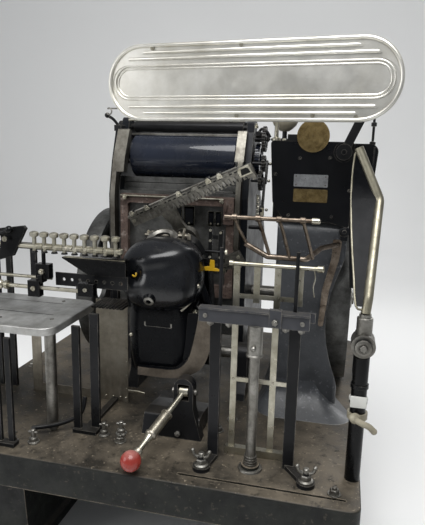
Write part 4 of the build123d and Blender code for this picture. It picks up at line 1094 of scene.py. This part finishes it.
def add_link(bm, start, end, half_width, thickness):
    """Flat link with round ends between two pins that stand along X."""
    start, end = Vector(start), Vector(end)
    along = (end - start).normalized()
    length = (end - start).length
    points = [(u + length / 2, v) for u, v in stadium(length / 2 + half_width, half_width, 8)]
    add_plate(bm, start, along, along.cross(ACROSS), points, -thickness)


class PRESS_OT_feeder_fittings(bpy.types.Operator):
    """Springs and caps of the sucker bar, clamps on the rods, comb plate, slits, rivets and tray strip"""
    bl_idname = "press.feeder_fittings"
    bl_label = "Feeder fittings"

    def execute(self, context):
        black, bright = bmesh.new(), bmesh.new()
        self.suckers(black, bright)
        self.clamps(black, bright)
        self.comb_plate(bright)
        piece("feeder_clamps", black, "post", 1)
        piece("feeder_bright_parts", bright, "nickel")
        bm = bmesh.new()
        add_block(bm, -262, -68, -411, -393, 949, 951)
        piece("tray_paper_guard", bm, "cream")
        low, high = spot("feed_table")
        bm = bmesh.new()
        add_block(bm, low.x + 18, high.x - 60, -434, -431, high.z - 0.2, high.z + 0.4)
        add_block(bm, low.x + 18, high.x - 90, -320, -318, high.z - 0.2, high.z + 0.4)
        piece("table_slits", bm, "post", body="feed_board")
        bm = bmesh.new()
        for x, y in ((-270, -470), (-420, -500), (-330, -290)):
            add_screw(bm, (x, y, high.z), UP, 6, 1.5, y)
        piece("table_screws", bm, "steel", body="feed_board")
        return {"FINISHED"}

    def suckers(self, black, bright):
        """Nine capped cups with springs between them, and the black arm at the bar's left end."""
        count, first, pitch = 9, -86, 32
        y, z = SUCKER_BAR
        cap = solid((0, 8), (4, 13), (12, 13.5), (15, 10), (17, 4))
        for k in range(count):
            x = first - pitch * k
            add_turned(bright, (x, y, z + 28), UP, cap, 18)
            add_turned(black, (x, y, z - 18), UP, [(0, 0), (0, 10), (5, 8), (7, 0)], 16)
            if k < count - 1:
                add_spring(bright, (x - 6, y, z), (x - pitch + 6, y, z), 9, 1.5, 5)
        add_turned(bright, (-76, y, z), ACROSS, [(0, 0), (0, 10), (8, 10), (11, 7), (12, 0)], 18)
        arm = [(0, 4), (50, 20), (96, 104), (88, 112), (6, 100), (12, 70)]
        add_plate(black, (-458, y - 10, 928), ACROSS, UP, arm, -12)
        add_rod(black, [(-500, y - 4, 996), (-418, y - 12, 1024)], 7, 12)
        add_ball(black, (-415, y - 13, 1026), 12, UP, 14)
        add_screw(bright, (-424, y - 22, 1000), FRONT, 8, 4, 1)

    def clamps(self, black, bright):
        """Blocks, post and collars that hold the sucker bar and the two air rods."""
        (y, z), (rod_y, rod_z) = SUCKER_BAR, AIR_ROD
        for block in ((-336, -292, y - 12, y + 14, 886, 930),
                      (-350, -312, rod_y - 12, rod_y + 12, 836, 884),
                      (-190, -142, rod_y - 12, rod_y + 14, 850, 888),
                      (-322, -308, rod_y - 4, y + 6, 876, 900)):
            add_block(black, *block)
        add_rod(black, [(-314, y, 928), (-314, y, z)], 6, 12)
        add_screw(bright, (-331, rod_y - 12, 861), FRONT, 7, 4, 0.4)
        add_screw(bright, (-166, rod_y - 12, 870), FRONT, 6, 4, 1.1)
        add_hex(bright, (-314, y - 12, 908), FRONT, 16, 8, 5)
        for x in (-470, -430):
            add_turned(bright, (x, rod_y, rod_z), ACROSS, tube(6.4, 13, 10), 20)
        add_ball(bright, (-450, rod_y, rod_z), 15, UP, 18)
        add_rod(bright, [(-614, rod_y + 34, 884), (-296, rod_y + 34, 884)], 5, 12)

    def comb_plate(self, bright):
        """Toothed plate on top of the feeder's panel, and the panel's rivets."""
        low, high = spot("feeder_panel")
        teeth, pitch = 9, 12
        grey = bmesh.new()
        for k in range(teeth):
            x = -214 + pitch * k
            add_block(grey, x, x + 8, -330, -226, high.z + 0.5, high.z + 7)
        add_block(grey, -220, high.x, -300, -226, high.z, high.z + 5)
        piece("feeder_comb_plate", grey, "oily", 0.6)
        for x in (-240, -214, -188, -162, -142):
            add_ball(bright, (x, low.y, 436), 3.4, FRONT, 10)
        for z in range(470, 760, 48):
            add_ball(bright, (-139, low.y, z), 2.2, FRONT, 8)


class PRESS_OT_feeder_stand(bpy.types.Operator):
    """Flat uprights, feet and wing bolts of the feeder on the deck"""
    bl_idname = "press.feeder_stand"
    bl_label = "Feeder stand"

    def execute(self, context):
        bar_top = 746
        bm = bmesh.new()
        for x, y in ((-388, -576), (-352, -572)):
            add_block(bm, x - 9, x + 9, y - 5, y + 5, DECK_TOP, bar_top)
        add_block(bm, -404, -336, -590, -563, DECK_TOP, FOOT_TOP)
        bent_rod = [(-330, -506, 440), (-260, -470, 446), (-205, -440, 470), (-196, -420, 520)]
        add_rod(bm, smooth_path(bent_rod, 5), 7, 12)
        piece("feeder_uprights", bm, "oily", 1)
        bm = bmesh.new()
        bolt = solid((0, 17), (4, 17), (6, 12), (16, 12), (18, 7), (40, 7), (42, 5))
        for x, y in ((-121, -450), (-74, -430), (-358, -560), (-300, -545)):
            add_turned(bm, (x, y, DECK_TOP), UP, bolt, 22)
            add_rod(bm, [(x - 14, y, DECK_TOP + 33), (x + 14, y, DECK_TOP + 33)], 4, 10)
        piece("feeder_wing_bolts", bm, "steel", 0.4)
        return {"FINISHED"}


class PRESS_OT_delivery_fittings(bpy.types.Operator):
    """Wing bolts, collars, screws and caps of the delivery table, its standards, fence and rake"""
    bl_idname = "press.delivery_fittings"
    bl_label = "Delivery fittings"

    def execute(self, context):
        self.wing_bolts()
        self.post()
        self.fence()
        y, z = RAKE
        bm = bmesh.new()
        for x in (240, 306, 364, 428):
            add_turned(bm, (x - 7, y, z), ACROSS, tube(6.2, 9.5, 14), 18)
            add_screw(bm, (x, y - 9, z), FRONT, 3, 2, x)
        piece("rake_collars", bm, "bronze", 0.5)
        return {"FINISHED"}

    def wing_bolts(self):
        """Hexagon, stud and two bent wings on the foot of each standard."""
        y, z = STANDARD_Y, FOOT_TOP
        bm = bmesh.new()
        for x in STANDARD_X:
            add_turned(bm, (x, y, z), UP, ring(9, (0, 20), (5, 20), (8, 15)), 28)
            add_hex(bm, (x, y, z + 8), UP, 26, 13)
            add_turned(bm, (x, y, z + 21), UP, solid((0, 8), (16, 8), (18, 6)), 18)
            for side in (-1, 1):
                bend = [(x + 6 * side, y, z + 24), (x + 18 * side, y - 2, z + 30),
                        (x + 23 * side, y - 3, z + 44)]
                wing = smooth_path(bend, 4)
                add_rod(bm, wing, 4.6, 12)
                add_ball(bm, wing[-1], 5.4, UP, 12)
        piece("standard_wing_bolts", bm, "steel", 0.4)

    def post(self):
        """Rings at the foot of the delivery's post, and the collar, knob, nuts and screws of its table."""
        x, y = DELIVERY_POST
        bore, rings, pitch = 14.3, 4, 7
        bm = bmesh.new()
        for k in range(rings):
            outer = 19 - k * 0.6
            add_turned(bm, (x, y, 434 + k * pitch), UP,
                       tube(bore, outer, 5), 28)
        add_turned(bm, (x, y, DECK_TOP), UP, [(0, 24.5), (0, 34), (5, 32), (6, 24.5), (0, 24.5)], 32)
        piece("post_foot_rings", bm, "steel", 0.5)
        bm = bmesh.new()
        add_turned(bm, (x, y, 744), UP, ring(14, (0, 22), (4, 23), (8, 20.3)), 30)
        add_ball(bm, (x, y - 25, 772), 8, UP, 18)
        add_rod(bm, [(x, y - 12, 772), (x, y - 24, 772)], 5, 12)
        for nut_x in (212, 262, 410, 450):
            add_hex(bm, (nut_x, y, 828), -UP, 17, 8, 4)
        for screw_x in (200, 452):
            add_screw(bm, (screw_x, -513, 846), FRONT, 6, 3, screw_x)
        add_hex(bm, (384, -521, 846), FRONT, 15, 8, 4)
        piece("delivery_screws", bm, "steel", 0.3, body="delivery_table")

    def fence(self):
        """End caps, screws and the hanging wire of the fence, and the cap of the rake."""
        low, high = spot("delivery_fence")
        y, z = FENCE_RAIL
        bm = bmesh.new()
        add_turned(bm, (high.x - 14, y, z), ACROSS, [(0, 6.2), (0, 9), (14, 9), (17, 6), (17, 0)], 18)
        add_turned(bm, (low.x + 10, y, z), -ACROSS, [(0, 6.2), (0, 8.5), (10, 8.5), (12, 0)], 18)
        for x in (267, 322, 377, 436):
            add_screw(bm, (x, y - 3, 948), FRONT, 4.5, 2.5, x)
        for x, screw_z in ((267, 646), (377, 646), (377, 480), (267, 480), (436, 886)):
            add_screw(bm, (x, y - 3, screw_z), FRONT, 4, 2.5, x + screw_z)
        wire = [(470, y - 4, 972), (474, y - 8, 950), (470, y - 8, 926), (474, y - 6, 900)]
        add_rod(bm, smooth_path(wire, 5), 1.6, 8)
        cap = [(0, 6.2), (0, 8.6), (12, 9), (20, 8), (23, 4), (23, 0)]
        add_turned(bm, (452, *RAKE), ACROSS, cap, 20)
        piece("fence_fittings", bm, "nickel")


class PRESS_OT_lever_fittings(bpy.types.Operator):
    """Knurled sleeve of the red lever, side plate and cap of the hand lever, tag and handle of its post"""
    bl_idname = "press.lever_fittings"
    bl_label = "Lever fittings"

    def execute(self, context):
        self.throw_off()
        x, y, z = LEVER_HEAD
        bm = bmesh.new()
        add_turned(bm, (x, y - 38, z), FRONT,
                   [(0, 0), (0, 21), (3, 21), (5, 17), (5, 13), (3.4, 13), (3.4, 10), (0, 10)], 34)
        add_hex(bm, (x, y - 38, z), FRONT, 17, 8)
        piece("lever_head_cap", bm, "steel", 0.5)
        bm = bmesh.new()
        add_turned(bm, (x, y, z + 62), UP, ring(15.3, (0, 20), (6, 20), (8, 17)), 28)
        piece("lever_neck_ring", bm, "steel", 0.5, body="hand_lever")
        self.side_plate()
        self.post_fittings()
        return {"FINISHED"}

    def throw_off(self):
        """Knurled sleeve with its collars on the red lever, and the ends of its pin."""
        pin, ball = THROW_OFF_PIN, Vector((33, -620, 460))
        length = (ball - pin).length
        along = (ball - pin).normalized()
        knurls, pitch, rod = 26, 2.9, 8.2
        bm = bmesh.new()
        for k in range(knurls):
            start = pin + along * (length * 0.36 + k * pitch)
            add_turned(bm, start, along, [(0, 13), (0.3, 15), (1.9, 15), (2.3, 13)], 30)
        add_turned(bm, pin + along * (length * 0.345), along, ring(rod, (0, 17), (6, 17.5), (7, 14)), 30)
        add_turned(bm, pin + along * (length * 0.64), along,
                   [(0, 13), (0, 17.5), (5, 17.5), (9, 14), (9, 10), (0, 10)], 30)
        add_turned(bm, ball - along * 38, along, ring(rod, (0, 12), (8, 13), (12, 11)), 26)
        piece("lever_knurled_sleeve", bm, "sleeve", 0, 50, body="throw_off_lever")
        bm = bmesh.new()
        add_turned(bm, (143.2, pin.y, pin.z), ACROSS, solid((0, 9), (7, 9), (9, 7)), 18)
        add_hex(bm, (82.8, pin.y, pin.z), -ACROSS, 15, 7)
        add_hex(bm, (98, -411, 436), (0, -0.9, 0.4), 16, 8, 4)
        piece("lever_pin_ends", bm, "steel", 0.4)

    def side_plate(self):
        """Dark plate in the bend of the hand lever's tube, with a nickel rim on its free edge."""
        half_thick = 1.3
        left = [(579, -477, 895), (569, -434, 965), (560, -392, 1035), (553, -347, 1108),
                (549, -316, 1186), (551, -304, 1257), (557, -301, 1274)]
        right = [(606, -477, 895), (612, -434, 965), (617, -392, 1035), (622, -347, 1108),
                 (611, -316, 1186), (579, -304, 1257), (567, -301, 1274)]
        bm = bmesh.new()
        rows = []
        for a, b in zip(left, right):
            corners = ((a, -half_thick), (b, -half_thick), (b, half_thick), (a, half_thick))
            rows.append([bm.verts.new(Vector(point) + BACK * y) for point, y in corners])
        for low, high in zip(rows, rows[1:]):
            for k in range(4):
                n = (k + 1) % 4
                bm.faces.new((low[k], low[n], high[n], high[k]))
        bm.faces.new(rows[0])
        bm.faces.new(rows[-1])
        piece("lever_side_plate", bm, "housing", body="hand_lever")
        bm = bmesh.new()
        add_rod(bm, smooth_path([(600, -473, 888), *left, (571, -300, 1280)], 4), 2.8, 10)
        piece("lever_plate_rim", bm, "lever", body="hand_lever")

    def post_fittings(self):
        """White tag with its clamp ring and the cream wing handle on the lever's post."""
        x, y = LEVER_HEAD[:2]
        bore = 20.2
        bm = bmesh.new()
        add_turned(bm, (x, y, 646), UP, tube(bore, 24, 8), 30)
        add_block(bm, x - 21, x + 20, y - 26, y - 20, 634, 664)
        piece("post_tag", bm, "tag", 1.2)
        bm = bmesh.new()
        add_turned(bm, (x, y, 596), UP, tube(bore, 26, 18), 30)
        add_turned(bm, (x - 6, y - 24, 606), FRONT, solid((0, 14), (8, 14), (11, 10)), 24)
        bend = [(x - 12, y - 40, 612), (x + 10, y - 42, 602), (x + 29, y - 40, 594), (x + 42, y - 36, 581)]
        wing = smooth_path(bend, 6)
        add_rod(bm, wing, 8, 14)
        add_ball(bm, wing[0], 10, UP, 16)
        add_ball(bm, wing[-1], 8.6, UP, 16)
        piece("post_handle", bm, "cream", 0.6)


class PRESS_OT_column_top(bpy.types.Operator):
    """Oil bowl, rods and clips on and beside the column's cover"""
    bl_idname = "press.column_top"
    bl_label = "Column top fittings"

    def execute(self, context):
        seat = COLUMN_TOP - 1
        bowl_x, bowl_y, rod_x, rod_y = 322, 52, 604, -80
        bowl = [(0, 0), (0, 14), (8, 26), (20, 38), (34, 44), (38, 44), (38, 40), (32, 37), (18, 30),
                (8, 16), (7, 0)]
        bm = bmesh.new()
        add_turned(bm, (bowl_x, bowl_y, 1336), UP, bowl, 36)
        piece("oil_bowl", bm, "cream", 0, 60)
        bm = bmesh.new()
        add_turned(bm, (bowl_x, bowl_y, seat), UP, solid((0, 16), (10, 16), (14, 8), (36, 8)), 22)
        add_block(bm, 336, 372, 20, 70, seat, 1326)
        add_rod(bm, [(rod_x, rod_y, 1296), (rod_x, rod_y, 1376)], 4, 12)
        add_turned(bm, (rod_x, rod_y, 1296), UP, solid((0, 9), (8, 9), (10, 5)), 20)
        add_hex(bm, (rod_x, rod_y, 1350), UP, 15, 12)
        piece("column_top_dark_parts", bm, "oily", 0.8)
        bm = bmesh.new()
        oiler = [(0, 0), (0, 13), (3, 14), (10, 13), (13, 7), (62, 6), (64, 9), (72, 9), (74, 0)]
        add_turned(bm, (313, -96, seat), UP, oiler, 22)
        add_turned(bm, (338, -104, seat), UP, solid((0, 6), (6, 6), (9, 3)), 16)
        piece("column_top_bright_parts", bm, "nickel")
        bm = bmesh.new()
        stop = solid((0, 16), (8, 16), (12, 12), (12, 6), (18, 6))
        add_turned(bm, (540, -105, 1030), FRONT, stop, 26)
        add_block(bm, 528, 552, -112, -104, 1000, 1030)
        low, high = spot("wheel_cover")
        y = low.y - 2
        edge = [(high.x - 12, y, high.z - 10), (608, y, 1180), (592, y, 980), (584, y, 870)]
        add_rod(bm, smooth_path(edge, 6), 3.4, 8)
        piece("wheel_cover_edge", bm, "frame", 0.6)
        return {"FINISHED"}


# Lamps in metres: name, place, point aimed at, size, and which of the panel's values is the power.
LAMPS = (("key_lamp", (0.4, -1.6, 3.6), (0, 0, 0.8), 2.6, "key_power"),
         ("fill_lamp", (-3.0, -2.2, 2.0), (0, 0, 0.8), 2.2, "fill_power"),
         ("rear_lamp", (1.6, 2.6, 2.9), (0, 0, 0.9), 1.8, "fill_power"))


class PRESS_OT_stage(bpy.types.Operator):
    """Floor, backdrop, lamps and the camera at the photograph's angle"""
    bl_idname = "press.stage"
    bl_label = "Stage"

    def execute(self, context):
        scene = context.scene
        light = scene.press_light
        self.floor(scene, light.backdrop)
        for name, place, aim, size, power in LAMPS:
            lamp = bpy.data.lights.new(name, "AREA")
            lamp.shape = "DISK"
            lamp.size = size
            lamp.energy = getattr(light, power)
            thing = bpy.data.objects.new(name, lamp)
            thing.location = place
            thing.rotation_mode = "QUATERNION"
            thing.rotation_quaternion = (Vector(aim) - Vector(place)).to_track_quat("-Z", "Y")
            scene.collection.objects.link(thing)
        world = bpy.data.worlds.new("studio_world")
        world.use_nodes = True
        tree = world.node_tree
        tree.nodes.clear()
        room = add_node(tree, "ShaderNodeBackground", {"Color": linear("#dfe2e6"), "Strength": 0.34})
        add_node(tree, "ShaderNodeOutputWorld", links={"Surface": room.outputs["Background"]})
        scene.world = world
        self.camera(scene)
        scene.view_settings.view_transform = "Standard"
        return {"FINISHED"}

    def floor(self, scene, colour):
        """Pale floor that curves up into the backdrop behind the press."""
        half_width = 9
        sweep = [(-9, 0), (3.2, 0), (3.7, 0.06), (4.05, 0.25), (4.25, 0.6), (4.3, 1.1), (4.3, 6)]
        bm = bmesh.new()
        lines = [[bm.verts.new((x, y, z)) for x in (-half_width, half_width)] for y, z in sweep]
        for low, high in zip(lines, lines[1:]):
            bm.faces.new((low[0], low[1], high[1], high[0]))
        for face in bm.faces:
            face.smooth = True
        mesh = bpy.data.meshes.new("floor_sweep")
        bm.to_mesh(mesh)
        bm.free()
        floor = bpy.data.objects.new("floor_sweep", mesh)
        scene.collection.objects.link(floor)
        material, tree, shader, place = new_finish("stage_pale_floor", 0.0, 0.85)
        shader.inputs["Base Color"].default_value = (*colour, 1)
        bump(tree, shader, noise(tree, place, 30), 0.1)
        mesh.materials.append(material)

    def camera(self, scene):
        """Camera fitted to the photograph: its eye in metres, its turn, and its focal length in pixels."""
        eye, focal, long_side = (0.53, -1.84, 1.27), 545, 525
        yaw, pitch, roll = radians(13.3), radians(11.7), radians(1.4)
        ahead = Vector((-sin(yaw), cos(yaw), 0))
        right = Vector((cos(yaw), sin(yaw), 0))
        look = ahead * cos(pitch) - UP * sin(pitch)
        above = ahead * sin(pitch) + UP * cos(pitch)
        x_axis = right * cos(roll) + above * sin(roll)
        y_axis = above * cos(roll) - right * sin(roll)
        data = bpy.data.cameras.new("photo_camera")
        data.sensor_width = 36
        data.lens = data.sensor_width * focal / long_side
        camera = bpy.data.objects.new("photo_camera", data)
        rows = [(x_axis[k], y_axis[k], -look[k], eye[k]) for k in range(3)]
        camera.matrix_world = Matrix((*rows, (0, 0, 0, 1)))
        scene.collection.objects.link(camera)
        scene.camera = camera


class PRESS_PT_panel(bpy.types.Panel):
    """Lists the sizes, the light and the steps that dress the press"""
    bl_idname = "PRESS_PT_panel"
    bl_label = "Platen press"
    bl_space_type = "VIEW_3D"
    bl_region_type = "UI"
    bl_category = "Press"

    def draw(self, context):
        for group in (context.scene.press_sizes, context.scene.press_light):
            for key in group.__annotations__:
                self.layout.prop(group, key)
        for step in STEPS:
            self.layout.operator(step.bl_idname)


STEPS = [PRESS_OT_finishes, PRESS_OT_deck_fittings, PRESS_OT_column_fittings, PRESS_OT_column_top,
         PRESS_OT_wheel_fittings, PRESS_OT_ink_fittings, PRESS_OT_ink_gears, PRESS_OT_bed_fittings,
         PRESS_OT_guard_fittings, PRESS_OT_gripper_fittings, PRESS_OT_housing_fittings,
         PRESS_OT_register_block, PRESS_OT_feeder_fittings, PRESS_OT_feeder_stand,
         PRESS_OT_delivery_fittings, PRESS_OT_lever_fittings, PRESS_OT_stage]
CLASSES = [PressSizes, PressLight, *STEPS, PRESS_PT_panel]


def register():
    for item in CLASSES:
        bpy.utils.register_class(item)
    bpy.types.Scene.press_sizes = bpy.props.PointerProperty(type=PressSizes)
    bpy.types.Scene.press_light = bpy.props.PointerProperty(type=PressLight)


def unregister():
    del bpy.types.Scene.press_light
    del bpy.types.Scene.press_sizes
    for item in reversed(CLASSES):
        bpy.utils.unregister_class(item)


def main():
    register()
    for step in STEPS:
        group, name = step.bl_idname.split(".")
        getattr(getattr(bpy.ops, group), name)()


if __name__ == "__main__":
    main()
